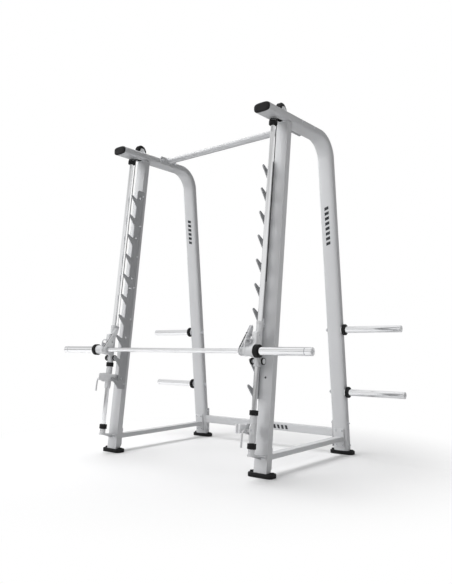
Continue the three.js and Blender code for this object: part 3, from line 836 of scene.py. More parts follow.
def skinned(shape, rings):
    """Closes a solid over rings of vertices that follow one another."""
    for first, second in zip(rings, rings[1:]):
        for i in range(len(first)):
            j = (i + 1) % len(first)
            shape.faces.new((first[i], first[j], second[j], second[i]))
    shape.faces.new(rings[0])
    shape.faces.new(rings[-1])
    bmesh.ops.recalc_face_normals(shape, faces=shape.faces)
    return shape


def foot_screws():
    """A screw head sunk in each boss of both shoes of one side."""
    heads = []
    for node in ("front_foot_r", "rear_foot_r"):
        low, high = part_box(node)
        for sign in (1, -1):
            at = ((low.x + high.x) / 2 + sign * BOSS_AT, (low.y + high.y) / 2, high.z - 0.0028)
            heads.append(stood(button_head(0.0065, 0.0030), at, (0, 0, 1)))
    return joined(*heads)


pair("side_rail", side_rail, SILVER, stands_for="side_rail_{side}")
pair("side_rail_bolts", side_rail_bolts, ZINC)
pair("leg_side_bolts", leg_side_bolts, ZINC)
piece("rear_crossmember", rear_crossmember(), SILVER, "frame", ["rear_crossmember"])
pair("crossmember_bolts", crossmember_bolts, ZINC)
for end, tube in (("front", front_tube), ("rear", rear_tube)):
    foot = f"{end}_foot_"
    pair(f"{end}_shoe", lambda: rubber_foot(foot + "r", tube()), RUBBER, stands_for=foot + "{side}")
pair("shoe_screws", foot_screws, ZINC)


# ---------------------------------------------------------------- pull-up bar

pull_low, pull_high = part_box("pull_up_bar")
PULL_PLATE = 0.008
PULL_Z = 2.302
PULL_RADIUS = 0.024
PULL_BOLT_Z = 2.293
pull_y = (pull_low.y + pull_high.y) / 2 + 0.003


def pull_up_bar():
    half = pull_high.x - PULL_PLATE / 2
    return placed(rod(-half, half, PULL_RADIUS, 0.001, 56), along_x((0, pull_y, PULL_Z)))


def pull_plate():
    """End plate with rounded corners."""
    (y0, z0), (y1, z1) = pull_low.yz, pull_high.yz
    outline = rounded([(y0, z0), (y1, z0), (y1, z1), (y0, z1)], 0.014, 6)
    return plate([(-y, z) for y, z in outline], pull_high.x - PULL_PLATE, pull_high.x)


def pull_weld():
    """The weld round the bar, on its end plate."""
    x = pull_high.x - PULL_PLATE
    bead = washer(x - 0.004, x + 0.001, PULL_RADIUS - 0.002, PULL_RADIUS + 0.0045, 0.0028, 40)
    return placed(bead, along_x((0, pull_y, PULL_Z)))


def pull_bolts():
    """Bolts through the end plate and the beam: domed heads outside, hexagon heads inside."""
    parts = []
    for y in (pull_low.y + 0.018, pull_high.y - 0.016):
        outer = (arch_high.x - 0.0012, y, PULL_BOLT_Z)
        inner = (pull_high.x - PULL_PLATE, y, PULL_BOLT_Z)
        parts.append(stood(button_head(0.0105, 0.0055), outer, (1, 0, 0)))
        parts.append(stood(hex_head(0.015, 0.0065, 0.0105), inner, (-1, 0, 0)))
    return joined(*parts)


piece("pull_up_bar", pull_up_bar(), BAR_PAINT, "frame", ["pull_up_bar"])
pair("pull_up_plate", pull_plate, SILVER)
pair("pull_up_weld", pull_weld, SILVER, sharp=60)
pair("pull_up_bolts", pull_bolts, ZINC)


# ---------------------------------------------------------------- guide rod and its fittings


BUMPER_RADIUS = 0.028
LOW_BUMPER_RADIUS = 0.027
top_low, top_high = rail_span("rod_top_bumper_r", BUMPER_RADIUS)
TOP_SPLIT = top_high - 0.0085  # between the two rubber rings


def guide_rod():
    low, high = rail_span("guide_rod_r", ROD_RADIUS)
    return placed(rod(low, high, ROD_RADIUS, 0.0015, 56), along_rod())


def top_bumper():
    """Two rubber rings with a steel washer's gap between them."""
    lower = washer(top_low, TOP_SPLIT - 0.0018, ROD_BORE, BUMPER_RADIUS, 0.003, 56)
    upper = washer(TOP_SPLIT + 0.0008, top_high, ROD_BORE, 0.0255, 0.002, 56)
    return placed(joined(lower, upper), along_rod())


def top_bumper_washer():
    """The steel washer between the bumper's two rings."""
    ring = washer(TOP_SPLIT - 0.0022, TOP_SPLIT + 0.0012, ROD_BORE, 0.0235, 0.0005, 48)
    return placed(ring, along_rod())


def bottom_bumper():
    """A rubber ring with a fine groove round its middle."""
    low, high = rail_span("rod_bottom_bumper_r", LOW_BUMPER_RADIUS)
    rim, groove = LOW_BUMPER_RADIUS, (low + high) / 2
    profile = [
        (low, rim), (groove - 0.0012, rim), (groove - 0.0006, 0.0264),
        (groove + 0.0006, 0.0264), (groove + 0.0012, rim), (high, rim),
    ]
    return placed(bored(profile, ROD_BORE, 0.0025), along_rod())


BRACKET_TOP = ROD_BOTTOM - GAP


def rod_bracket():
    """A shelf that narrows to a round nose under the rod, with a back plate and a small gusset."""
    nose, half, straight_to = 0.024, 0.042, 0.016
    outline = [(GAP, half), (straight_to, half)]
    for i in range(17):
        angle = pi / 2 + 0.25 - (pi + 0.5) * i / 16
        outline.append((ROD_OFFSET + nose * cos(angle), nose * sin(angle)))
    outline += [(straight_to, -half), (GAP, -half)]
    flat = placed(plate(outline, BRACKET_TOP - 0.009, BRACKET_TOP, edge=0.0012), UPENDED)
    back = block((-half, half), (-0.006, -GAP), (BRACKET_TOP - 0.030, BRACKET_TOP - 0.001), 0.0015)
    gusset = [
        (0.004, BRACKET_TOP - 0.006), (0.004, BRACKET_TOP - 0.028),
        (0.084, BRACKET_TOP - 0.012), (0.084, BRACKET_TOP - 0.006),
    ]
    web = plate(rounded(gusset, 0.003), -0.004, 0.004)
    return placed(joined(flat, back, web), IN_SIDE)


def rod_socket():
    """The collar on the shelf that holds the rod's foot, with a weld's flare at its base."""
    profile = [(-0.001, 0.024), (0.004, 0.0215), (0.006, 0.020), (0.034, 0.020)]
    profile = [(BRACKET_TOP + q, radius) for q, radius in profile]
    return placed(bored(profile, ROD_BORE, 0.0012, 48), along_rod())


def rod_bracket_screws():
    """Two screws through the back plate and the grub screw of the socket."""
    parts = []
    for dx in (-0.029, 0.029):
        at = rail_point(0.0058, BRACKET_TOP - 0.020, SIDE_X + dx)
        parts.append(stood(button_head(0.0065, 0.0035), at, FORWARD))
    at = rail_point(ROD_OFFSET + 0.0198, BRACKET_TOP + 0.022)
    parts.append(stood(button_head(0.0045, 0.0025), at, FORWARD))
    return joined(*parts)


pair("guide_rod", guide_rod, ROD_CHROME, stands_for="guide_rod_{side}")
pair("rod_top_bumper", top_bumper, RUBBER, stands_for="rod_top_bumper_{side}")
pair("rod_top_washer", top_bumper_washer, ZINC)
pair("rod_bottom_bumper", bottom_bumper, RUBBER, stands_for="rod_bottom_bumper_{side}")
pair("rod_bracket", rod_bracket, STEEL, stands_for="rod_bracket_{side}")
pair("rod_socket", rod_socket, STEEL)
pair("rod_bracket_screws", rod_bracket_screws, ZINC)


# ---------------------------------------------------------------- hook plates

HOOK_COUNT = 10
HOOK_PITCH = 0.1565
TOP_HOOK = 1.9515
HOOK_TIP = 0.112
RACK_ROOT = -0.020  # beside the upright, behind its front face
RACK_BOTTOM, RACK_TOP = 0.462, 2.007
NOTCH = 0.050
WINDOWS_AT = (1.946, 1.624, 1.304, 0.846, 0.540)
RACK_SCREWS, FIRST_SCREW, SCREW_PITCH = 7, 0.50, 0.245
rack_low, rack_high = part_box("rack_plate_r")


def rack_plate():
    """The hook plate: ten upturned hooks, with small windows near its root."""
    outline = [(RACK_ROOT, RACK_BOTTOM), (NOTCH, RACK_BOTTOM)]
    for hook in reversed(range(HOOK_COUNT)):
        tip = TOP_HOOK - hook * HOOK_PITCH
        outline += [
            (NOTCH, max(tip - 0.080, RACK_BOTTOM + 0.008)), (HOOK_TIP - 0.004, tip - 0.017),
            (HOOK_TIP, tip - 0.009), (HOOK_TIP - 0.003, tip - 0.001), (HOOK_TIP - 0.009, tip),
            (NOTCH + 0.008, tip - 0.020), (NOTCH + 0.002, tip - 0.018), (NOTCH, tip - 0.012),
        ]
    outline += [(NOTCH, RACK_TOP - 0.012), (NOTCH - 0.012, RACK_TOP), (RACK_ROOT, RACK_TOP)]
    windows = [slot_outline(0.019, q, 0.0, 0.008) for q in WINDOWS_AT]
    windows.append(slot_outline(0.028, 1.225, 0.011, 0.005))
    flat = plate(rounded(outline, 0.004, 3), rack_low.x, rack_high.x, windows)
    return placed(flat, RAIL)


def rack_screws():
    """Screws through the plate's root into the upright's inner side."""
    heads = []
    for i in range(RACK_SCREWS):
        at = rail_point(RACK_ROOT + 0.011, FIRST_SCREW + SCREW_PITCH * i, rack_low.x + 0.0005)
        heads.append(stood(button_head(0.0070, 0.0030), at, (-1, 0, 0)))
    return joined(*heads)


pair("rack_plate", rack_plate, GREY_PAINT, stands_for="rack_plate_{side}")
pair("rack_screws", rack_screws, ZINC)


# ---------------------------------------------------------------- pulley, cable and counterweight

PULLEY_RADIUS = 0.050
CABLE_RADIUS = 0.0029
WIRE_RADIUS = 0.0016
CABLE_P = PULLEY_P + PULLEY_PITCH
CABLE_REAR_P = PULLEY_P - PULLEY_PITCH
WIRE_TOP = 1.182  # where the black jacket ends and bare wire rope runs on to the carriage
WIRE_LAY = 0.018  # one turn of the wire rope's strands
CABLE_ANCHOR = 0.9283
CHEEK_AT, CHEEK_HALF = 0.021, 0.0025
AXLE_END = 0.0235
WEIGHT_SPAN = (1.360, 1.960)
WEIGHT_TOP = WEIGHT_SPAN[1] + GAP
WEIGHT_PLATES = 12


def pulley():
    """Grooved wheel with a dished face, five round windows and a thick hub."""
    half, rim = 0.012, PULLEY_RADIUS
    outline = [
        (-half, 0.0095), (-half, 0.0165), (-0.007, 0.0185), (-0.007, 0.034), (-half + 0.001, 0.0375),
        (-half, rim - 0.0015), (-0.0105, rim), (-0.0065, rim), (-0.003, PULLEY_PITCH - 0.0025),
        (0, PULLEY_PITCH - 0.0031),
    ]
    outline += [(-x, r) for x, r in reversed(outline[:-1])]
    wheel = turned(outline + [outline[0]], 72)
    windows = []
    for y, z in circle(0, 0, 0.0262, 5):
        windows.append(placed(rod(-0.02, 0.02, 0.0052, 0, 24), along_x((0, y, z))))
    return placed(carved(wheel, *windows), along_x(pulley_centre))


def pulley_bearing():
    """The bearing's two rings, seen round the axle."""
    inner = washer(-0.0115, 0.0115, 0.0055, 0.0072, 0.0004, 32)
    outer = washer(-0.0110, 0.0110, 0.0078, 0.0093, 0.0004, 32)
    return placed(joined(inner, outer), along_x(pulley_centre))


def pulley_bracket():
    """Two cheeks with rounded shoulders, standing on the beam."""
    at = Matrix.Translation((SIDE_X, pulley_centre.y, BEAM_TOP + GAP - 0.0004))
    half = [(0.030, 0), (0.030, 0.008), (0.013, 0.036)]
    outline = [(-0.030, 0)] + half + [(-a, b) for a, b in reversed(half[1:])]
    cheeks = []
    for side in (1, -1):
        x = side * CHEEK_AT
        cheeks.append(placed(plate(rounded(outline, 0.006), x - CHEEK_HALF, x + CHEEK_HALF), at))
    return joined(*cheeks)


def pulley_axle():
    """The axle bolt through both cheeks, with a hexagon head at each end."""
    parts = [rod(-AXLE_END, AXLE_END, 0.005, 0.0005, 32)]
    for side in (1, -1):
        parts.append(stood(hex_head(0.013, 0.0035, 0.009), (side * AXLE_END, 0, 0), (side, 0, 0)))
    return placed(joined(*parts), along_x(pulley_centre))


def rope(points, radius, lobes=0):
    """A cable along points in the side plane. With lobes it is laid wire rope, twisted as it goes."""
    shape = bmesh.new()
    rings = []
    travelled = 0.0
    for i, (point, across, out, _) in enumerate(in_plane(points)):
        travelled += (point - points[i - 1]).length if i else 0
        ring = []
        for k in range(16):
            angle = 2 * pi * k / 16
            lay = lobes * (angle - 2 * pi * travelled / WIRE_LAY)
            bulge = 1 + 0.14 * cos(lay) if lobes else 1
            offset = (cos(angle) * across + sin(angle) * out) * radius * bulge
            ring.append(shape.verts.new(point + offset))
        rings.append(ring)
    return skinned(shape, rings)


def straight(p, low, high, spacing):
    """Points evenly along the rail, from one height to another."""
    count = max(2, int(abs(high - low) / spacing))
    return [rail_point(p, low + (high - low) * i / count) for i in range(count + 1)]


def cable_over_pulley():
    """The half turn over the pulley."""
    over = circle(PULLEY_P, PULLEY_Q, PULLEY_PITCH, 64)[:33]
    return rope([rail_point(p, q) for p, q in over], CABLE_RADIUS)


def cable_front():
    """The jacketed run in front of the upright, down to where the jacket ends."""
    return rope(straight(CABLE_P, WIRE_TOP, PULLEY_Q, 0.03), CABLE_RADIUS)


def cable_wire():
    """The bare wire rope from the jacket's end down to the carriage."""
    return rope(straight(CABLE_P, CABLE_ANCHOR, WIRE_TOP + 0.004, 0.0022), WIRE_RADIUS, lobes=6)


def cable_rear():
    """The run inside the upright, down to the counterweight."""
    return rope(straight(CABLE_REAR_P, WEIGHT_TOP, PULLEY_Q, 0.03), CABLE_RADIUS)


pair("pulley", pulley, PLASTIC, "{word}_pulley", "pulley_{side}")
pair("pulley_bearing", pulley_bearing, ZINC, "{word}_pulley")
pair("pulley_bracket", pulley_bracket, STEEL, stands_for="pulley_bracket_{side}")
pair("pulley_axle", pulley_axle, ZINC)
pair("cable_over_pulley", cable_over_pulley, JACKET, stands_for="cable_{side}")

for side, sign, word in SIDES:
    x = sign * SIDE_X
    front = (rail_point(CABLE_P, PULLEY_Q, x), rail_point(CABLE_P, CABLE_ANCHOR, x))
    rear = (rail_point(CABLE_REAR_P, PULLEY_Q, x), rail_point(CABLE_REAR_P, WEIGHT_TOP, x))
    for name, build, finish, body, ends in (
        ("cable_front", cable_front, JACKET, "carriages", front),
        ("cable_wire", cable_wire, WIRE, "carriages", front),
        ("cable_rear", cable_rear, JACKET, f"{word}_counterweight", rear),
    ):
        shape = build() if sign > 0 else mirrored(build())
        piece(f"{name}_{side}", shape, finish, body, sharp=180, run=ends)


def counterweight():
    """A bar of stacked iron plates on a rod, inside the upright."""
    low, high = WEIGHT_SPAN
    step = (high - low) / WEIGHT_PLATES
    ys = (-CABLE_REAR_P - 0.016, -CABLE_REAR_P + 0.016)
    parts = []
    for i in range(WEIGHT_PLATES):
        zs = (low + i * step + 0.0004, low + (i + 1) * step - 0.0004)
        parts.append(block((-0.04, 0.04), ys, zs, 0.0015))
    core = rod(low + 0.002, high - 0.001, 0.008, 0, 20)
    parts.append(placed(core, Matrix.Translation((0, -CABLE_REAR_P, 0)) @ UPENDED))
    return placed(joined(*parts), IN_SIDE)


pair("counterweight", counterweight, IRON, "{word}_counterweight", "counterweight_{side}")


# ---------------------------------------------------------------- carriage

CARRIAGE_BOTTOM = 0.650
CARRIAGE_TOP = 0.928
HUB_RADIUS = 0.032
BAR_RADIUS = 0.015
BAR_BORE = BAR_RADIUS + GAP
PAD_P, PAD_Q = 0.095, 0.684
collar_low, collar_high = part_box("bar_collar_r")
AT_BAR = RAIL @ Matrix.Translation((0, -BAR_P, BAR_Q))


def carriage_tube():
    """Bearing housing on the guide rod, with a shoulder at each end."""
    low, high, body, shoulder = CARRIAGE_BOTTOM, CARRIAGE_TOP, 0.0208, 0.022
    mouth = ROD_BORE + 0.002
    outline = [
        (low, mouth), (low, shoulder), (low + 0.016, shoulder), (low + 0.0175, body),
        (high - 0.0175, body), (high - 0.016, shoulder), (high, shoulder), (high, mouth),
        (high - 0.004, ROD_BORE), (low + 0.004, ROD_BORE), (low, mouth),
    ]
    return placed(turned_soft(outline, 0.0008, 56), along_rod())


def carriage_seals():
    """Wiper seals in both ends of the carriage's housing."""
    rings = []
    for q in (CARRIAGE_BOTTOM - 0.0006, CARRIAGE_TOP - 0.0026):
        rings.append(washer(q, q + 0.0032, ROD_RADIUS + GAP / 2, 0.0178, 0.0006, 48))
    return placed(joined(*rings), along_rod())


def carriage_web():
    """Cast block between the rod housing and the bar hub."""
    outline = [
        (ROD_OFFSET, 0.700), (BAR_P, BAR_Q - 0.026), (BAR_P, BAR_Q + 0.028), (0.148, 0.790),
        (0.148, 0.856), (ROD_OFFSET, 0.872),
    ]
    return placed(plate(rounded(outline, 0.010, 5), -0.018, 0.018, edge=0.0025), IN_SIDE)


def guard_plate():
    """Plate over the hub's inner end, with an oblong window above the bar."""
    outline = [
        (-0.087, 0.010), (0.024, 0.010), (0.030, 0.026), (0.028, 0.056), (0.020, 0.070),
        (0.006, 0.077), (-0.038, 0.078), (-0.060, 0.104), (-0.087, 0.118),
    ]
    window = [(-0.028, 0.050), (0.019, 0.050), (0.018, 0.064), (0.012, 0.069), (-0.028, 0.069)]
    holes = [rounded(window, 0.007, 4)]
    return placed(plate(rounded(outline, 0.010, 5), 0.651, 0.659, holes, edge=0.0016), AT_BAR)


def carriage_hub():
    """Bearing housing for the bar, with a raised band and a chamfered outer end."""
    low, high, rim = 0.643, collar_low.x - 0.002, HUB_RADIUS
    profile = [
        (low, rim - 0.003), (low + 0.003, rim), (low + 0.020, rim), (low + 0.0212, rim - 0.0014),
        (high - 0.014, rim - 0.0014), (high - 0.0128, rim), (high - 0.002, rim), (high, rim - 0.002),
    ]
    return placed(bored(profile, BAR_BORE, 0.0007, 64), AT_BAR)


def cable_lug():
    """Lug on the back of the rod housing that holds the cable."""
    outline = [
        (0.070, 0.892), (0.084, 0.896), (0.084, 0.926), (0.056, 0.926), (0.052, 0.918), (0.054, 0.900),
    ]
    return placed(plate(rounded(outline, 0.004), -0.006, 0.006), IN_SIDE)


def carriage_screws():
    """Clamp screws on the web's outer face, and the pin of the cable lug."""
    parts = []
    for p, q in ((0.120, 0.735), (0.120, 0.838)):
        for side in (1, -1):
            head = button_head(0.006, 0.0032)
            parts.append(stood(head, rail_point(p, q, SIDE_X + side * 0.0178), (side, 0, 0)))
    for q in (CARRIAGE_BOTTOM + 0.008, CARRIAGE_TOP - 0.008):
        parts.append(stood(button_head(0.003, 0.0012), rail_point(ROD_OFFSET + 0.0216, q), FORWARD))
    lug_pin = rail_point(CABLE_P, 0.911, SIDE_X + 0.006)
    parts.append(stood(hex_head(0.008, 0.0035, 0.006), lug_pin, (1, 0, 0)))
    return joined(*parts)


def pad_stubs():
    """The stubs and caps of the two rubber pads beside the carriage's foot."""
    parts = []
    for side in (1, -1):
        at = rail_point(PAD_P, PAD_Q)
        parts.append(stood(rod(0.017, 0.0415, 0.011, 0.001, 40), at, (side, 0, 0)))
        cap = turned_soft([(0.040, 0), (0.040, 0.0165), (0.0480, 0.0165), (0.0480, 0)], 0.0018, 40)
        parts.append(stood(cap, at, (side, 0, 0)))
    return joined(*parts)


def side_pads():
    """The rubber rings on those stubs."""
    parts = []
    for side in (1, -1):
        ring = washer(0.0355, 0.0475, 0.0155, 0.021, 0.0022, 44)
        parts.append(stood(ring, rail_point(PAD_P, PAD_Q), (side, 0, 0)))
    return joined(*parts)


pair("carriage_tube", carriage_tube, CAST, "carriages", "carriage_{side}")
pair("carriage_seals", carriage_seals, RUBBER, "carriages")
pair("carriage_web", carriage_web, CAST, "carriages")
pair("carriage_guard", guard_plate, CAST, "carriages")
pair("carriage_hub", carriage_hub, CAST, "carriages")
pair("cable_lug", cable_lug, CAST, "carriages")
pair("carriage_screws", carriage_screws, ZINC, "carriages")
pair("pad_stubs", pad_stubs, CAST, "carriages")
pair("side_pads", side_pads, RUBBER, "carriages")


def cable_ferrule():
    """A swaged ferrule on the cable's end."""
    start = CABLE_ANCHOR - 0.002
    return placed(washer(start, start + 0.024, 0.0012, 0.0038, 0.0008, 24), along_rod(CABLE_P))


pair("cable_ferrule", cable_ferrule, ZINC, "carriages")


# ---------------------------------------------------------------- bar

sleeve_low, sleeve_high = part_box("weight_sleeve_r")
shaft_low, shaft_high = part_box("bar_shaft")
SLEEVE_RADIUS = 0.025


def bar_shaft():
    return placed(rod(shaft_low.x, shaft_high.x, BAR_RADIUS, 0.001, 56), AT_BAR)


def weight_sleeve():
    """Plate sleeve with a retaining groove near its tip and a recessed end face."""
    start, end, rim = sleeve_low.x, sleeve_high.x, SLEEVE_RADIUS
    outline = [
        (start, BAR_BORE), (start, rim), (end - 0.0475, rim), (end - 0.0465, rim - 0.002),
        (end - 0.0405, rim - 0.002), (end - 0.0395, rim), (end - 0.0028, rim), (end, rim - 0.0028),
        (end, 0.0185), (end - 0.0025, 0.0175), (end - 0.0025, 0.0060), (end - 0.0145, 0.0060),
        (end - 0.0145, BAR_BORE), (start, BAR_BORE),
    ]
    return placed(turned(outline, 64), AT_BAR)


def sleeve_ends():
    """Bolt in the sleeve's end face."""
    bolt = hex_head(0.014, 0.0022, 0.0105)
    return placed(placed(bolt, along_x((sleeve_high.x - 0.0035, 0, 0))), AT_BAR)


def sleeve_clip():
    """Spring clip in the retaining groove."""
    end = sleeve_high.x
    return placed(washer(end - 0.0448, end - 0.0424, 0.0228, 0.0246, 0.0005, 64), AT_BAR)


def bar_collar():
    """Rubber-covered collar with rounded edges and two fine grooves."""
    low, high = collar_low.x, collar_high.x
    rim = (collar_high.z - collar_low.z) / 2
    outline = [(low, BAR_BORE), (low, rim)]
    for share in (0.36, 0.64):
        at = low + (high - low) * share
        outline += [(at - 0.0009, rim), (at, rim - 0.0009), (at + 0.0009, rim)]
    outline += [(high, rim), (high, 0.0285), (high - 0.0015, 0.0275), (high - 0.0015, BAR_BORE)]
    soft = rounded(outline, 0.0014, 3)
    return placed(turned(soft + [soft[0]], 72), AT_BAR)


LATCH_OUTER = (0.6278, 0.6318)
LATCH_INNER = (0.6146, 0.6186)
LATCH_CATCH = (-0.0665, 0.152)
LATCH_SPACER = (-0.040, 0.100)


def latch_arm(xs):
    """One of the two arms that straddle the hook plate, with a round finger hole."""
    outline = [
        (0.034, 0.013), (-0.057, 0.157), (-0.060, 0.164), (-0.068, 0.168), (-0.080, 0.162),
        (-0.083, 0.152), (-0.080, 0.134), (-0.066, 0.104), (-0.058, 0.070), (-0.046, 0.034),
        (-0.034, 0.004), (-0.026, -0.017), (0.0, -0.031), (0.024, -0.024), (0.036, -0.006),
    ]
    hole = circle(-0.036, 0.060, 0.007)
    return placed(plate(rounded(outline, 0.008, 4), *xs, [hole], edge=0.0008), AT_BAR)


def latch_sleeve():
    """Sleeve through both arms, with the flange that clamps it to the bar."""
    start, face, end = LATCH_INNER[0] - 0.005, LATCH_OUTER[0], 0.641
    profile = [
        (start, 0.0205), (start + 0.0015, 0.022), (face, 0.022), (face, 0.0275),
        (face + 0.0015, 0.029), (end - 0.0015, 0.029), (end, 0.0275),
    ]
    return placed(bored(profile, BAR_BORE, 0.0005), AT_BAR)


def latch_bolt(at, radius):
    """A bolt across the two arms: its shank between them and a domed head outside each."""
    forward, up = at
    middle = Vector((0, -forward, up))
    parts = [placed(rod(LATCH_INNER[0], LATCH_OUTER[1], radius, 0, 28), along_x(middle))]
    for x, way in ((LATCH_OUTER[1] - 0.0002, 1), (LATCH_INNER[0] + 0.0002, -1)):
        head = button_head(radius * 1.35, 0.0024)
        parts.append(stood(head, Vector((x, *middle.yz)), (way, 0, 0)))
    return placed(joined(*parts), AT_BAR)


def latch_liner():
    """Black strip between the arms along their front edge, painted shade for the shadowed gap between
    them, and a rubber buffer above it.
    """
    between = (LATCH_INNER[1] + 0.0003, LATCH_OUTER[0] - 0.0003)
    outline = [(0.0325, 0.0165), (-0.0215, 0.102), (-0.0285, 0.098), (0.0250, 0.0135)]
    strip = plate(rounded(outline, 0.002), *between)
    buffer = placed(rod(*between, 0.0045, 0.0005, 24), along_x((0, 0.0305, 0.1130)))
    return placed(joined(strip, buffer), AT_BAR)


piece("bar_shaft", bar_shaft(), CHROME, "bar", ["bar_shaft"])
pair("weight_sleeve", weight_sleeve, CHROME, "bar", "weight_sleeve_{side}")
pair("sleeve_end_bolt", sleeve_ends, ZINC, "bar")
pair("sleeve_clip", sleeve_clip, ZINC, "bar")
pair("bar_collar", bar_collar, RUBBER, "bar", "bar_collar_{side}")
pair("latch_arm_outer", lambda: latch_arm(LATCH_OUTER), LATCH_STEEL, "bar", "latch_{side}")
pair("latch_arm_inner", lambda: latch_arm(LATCH_INNER), LATCH_STEEL, "bar", "latch_inner_{side}")
pair("latch_sleeve", latch_sleeve, STEEL, "bar")
pair("latch_catch_pin", lambda: latch_bolt(LATCH_CATCH, 0.005), ZINC, "bar", "latch_catch_{side}")
pair("latch_spacer_bolt", lambda: latch_bolt(LATCH_SPACER, 0.0045), ZINC, "bar")
# painted shade: a black strip in the gap between the latch arms, where there is only shadow
pair("latch_liner", latch_liner, PLASTIC, "bar")


# ---------------------------------------------------------------- plate storage pegs

PEG_RING_BORE = 0.0243


def storage_peg(node):
    """Peg with a welded foot ring and a grooved, chamfered tip."""
    low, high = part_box(node)
    rim = (high.z - low.z) / 2
    start, end = arch_high.x - 0.002, high.x
    outline = [
        (start, 0), (start, rim + 0.004), (start + 0.004, rim + 0.0035), (start + 0.0075, rim),
        (end - 0.0305, rim), (end - 0.0295, rim - 0.0018), (end - 0.0245, rim - 0.0018),
        (end - 0.0235, rim), (end - 0.003, rim), (end, rim - 0.003), (end, 0.017),
        (end - 0.002, 0.016), (end - 0.002, 0),
    ]
    return placed(turned(outline, 64), along_x((0, (low.y + high.y) / 2, (low.z + high.z) / 2)))


def peg_nut(node):
    """Nut of the peg's bolt, on the inner edge of the leg."""
    low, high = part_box(node)
    at = Vector((arch_low.x + 0.0005, (low.y + high.y) / 2, (low.z + high.z) / 2))
    end = placed(threaded_end(0.006, 0.004), along_x((0.010, 0, 0)))
    return stood(joined(hex_head(0.022, 0.009, 0.0155), end), at, (-1, 0, 0))


def peg_buffer(node):
    """Rubber buffer ring on the peg, with a fine groove round its middle."""
    low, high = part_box(node)
    rim = (high.z - low.z) / 2
    centre = (low + high) / 2
    middle = (low.x + high.x) / 2
    profile = [
        (low.x, rim), (middle - 0.001, rim), (middle, rim - 0.001), (middle + 0.001, rim),
        (high.x, rim),
    ]
    return placed(bored(profile, PEG_RING_BORE, 0.0022, 64), along_x((0, centre.y, centre.z)))


for level in ("upper", "lower"):
    horn, ring = f"storage_horn_{level}_", f"horn_ring_{level}_"
    pair(f"storage_peg_{level}", lambda: storage_peg(horn + "r"), CHROME, stands_for=horn + "{side}")
    pair(f"peg_nut_{level}", lambda: peg_nut(horn + "r"), ZINC)
    pair(f"peg_buffer_{level}", lambda: peg_buffer(ring + "r"), RUBBER, stands_for=ring + "{side}")


# ---------------------------------------------------------------- safety stops

STOP_LENGTH = 0.190
STOP_RING = 0.030
STOP_RING_RADIUS = 0.027
FIN = (0.636, 0.642)  # the guide plate, beside the hook plate
FIN_MIDDLE = 0.640  # as far as the block between the plate and the inner cheek reaches into it
HANDLE_RADIUS = 0.0055
STOP_PIN = (0.143, -0.118)  # forward of the upright's face, and below the top of the ring


def stop_parts(top):
    """The shapes of one safety stop with the top of its rubber ring at this height up the rail."""
    low, high = top - STOP_LENGTH, top - STOP_RING - GAP
    profile = [
        (low, 0.0205), (low + 0.012, 0.0205), (low + 0.014, 0.022), (high - 0.010, 0.022),
        (high - 0.008, 0.0210), (high, 0.0210),
    ]
    tube = placed(bored(profile, ROD_BORE, 0.0008), along_rod())
    cheek = [
        (0.104, top - 0.144), (0.146, top - 0.142), (0.156, top - 0.130),
        (0.156, top - 0.092), (0.144, top - 0.080), (0.104, top - 0.080),
    ]
    cheeks = [plate(rounded(cheek, 0.008, 4), x - 0.0025, x + 0.0025) for x in (-0.017, 0.017)]
    guide = [(0.030, top - 0.138), (0.220, top - 0.138), (0.220, top - 0.085), (0.030, top - 0.085)]
    fin = plate(rounded(guide, 0.010, 5), FIN[0] - SIDE_X, FIN[1] - SIDE_X, edge=0.0012)
    bridge_xs = (FIN_MIDDLE - SIDE_X, -0.016)
    bridge = block(bridge_xs, (-0.206, -0.084), (top - 0.137, top - 0.086), 0.002)
    pin_at = rail_point(STOP_PIN[0], top + STOP_PIN[1])
    shank = placed(rod(-0.020, 0.020, 0.0037, 0, 24), along_x(pin_at))
    head = stood(button_head(0.0068, 0.0032), pin_at + Vector((0.0193, 0, 0)), (1, 0, 0))
    ring = placed(washer(top - STOP_RING, top, ROD_BORE, STOP_RING_RADIUS, 0.0028, 56), along_rod())
    eye = placed(washer(-0.013, 0.013, 0.004, 0.009, 0.0008, 36), along_x(pin_at))
    stop, turning = "{word}_stop", "{word}_stop_handle"
    return {
        "stop_tube": (tube, STEEL, stop, "stop_housing_{side}"),
        # painted light: the cheeks and guide plate take the paler latch steel, brighter than the stop's
        # own steel, to lift them out of their shade
        "stop_cheeks": (placed(joined(*cheeks), IN_SIDE), LATCH_STEEL, stop, ""),
        "stop_guide": (placed(joined(fin, bridge), IN_SIDE), LATCH_STEEL, stop, ""),
        "stop_pin": (joined(shank, head), ZINC, stop, ""),
        "stop_ring": (ring, RUBBER, stop, "stop_ring_{side}"),
        "stop_handle": (joined(eye, stop_handle(top)), STEEL, turning, "stop_lever_{side}"),
    }


def stop_handle(top):
    """Round-bar handle: forward from the pin, then hanging down to a domed end."""
    corners = [
        (0.148, -0.118), (0.162, -0.115), (0.180, -0.116), (0.193, -0.123),
        (0.200, -0.138), (0.202, -0.165), (0.203, -0.217),
    ]
    path = [rail_point(p, top + q) for p, q in rounded(corners, 0.05, 6, closed=False)]
    travel = (path[-1] - path[-2]).normalized()
    path[-1] -= travel * HANDLE_RADIUS
    stations = in_plane(path)
    tip, across, out, _ = stations[-1]
    for k in range(1, 5):
        angle = pi / 2 * k / 4
        point = tip + travel * HANDLE_RADIUS * sin(angle)
        stations.append((point, across, out, max(cos(angle), 0.05)))
    return swept(circle(0, 0, HANDLE_RADIUS, 20), stations)


for side, sign, word in SIDES:
    _, ring_top = rail_span(f"stop_ring_{side}", STOP_RING_RADIUS)
    for name, (shape, finish, body, node) in stop_parts(ring_top).items():
        nodes = [node.format(side=side)] if node else []
        shape = shape if sign > 0 else mirrored(shape)
        piece(f"{name}_{side}", shape, finish, body.format(word=word), nodes)


# ---------------------------------------------------------------- plain marks in a name's place

MARK_PITCH = 0.0365


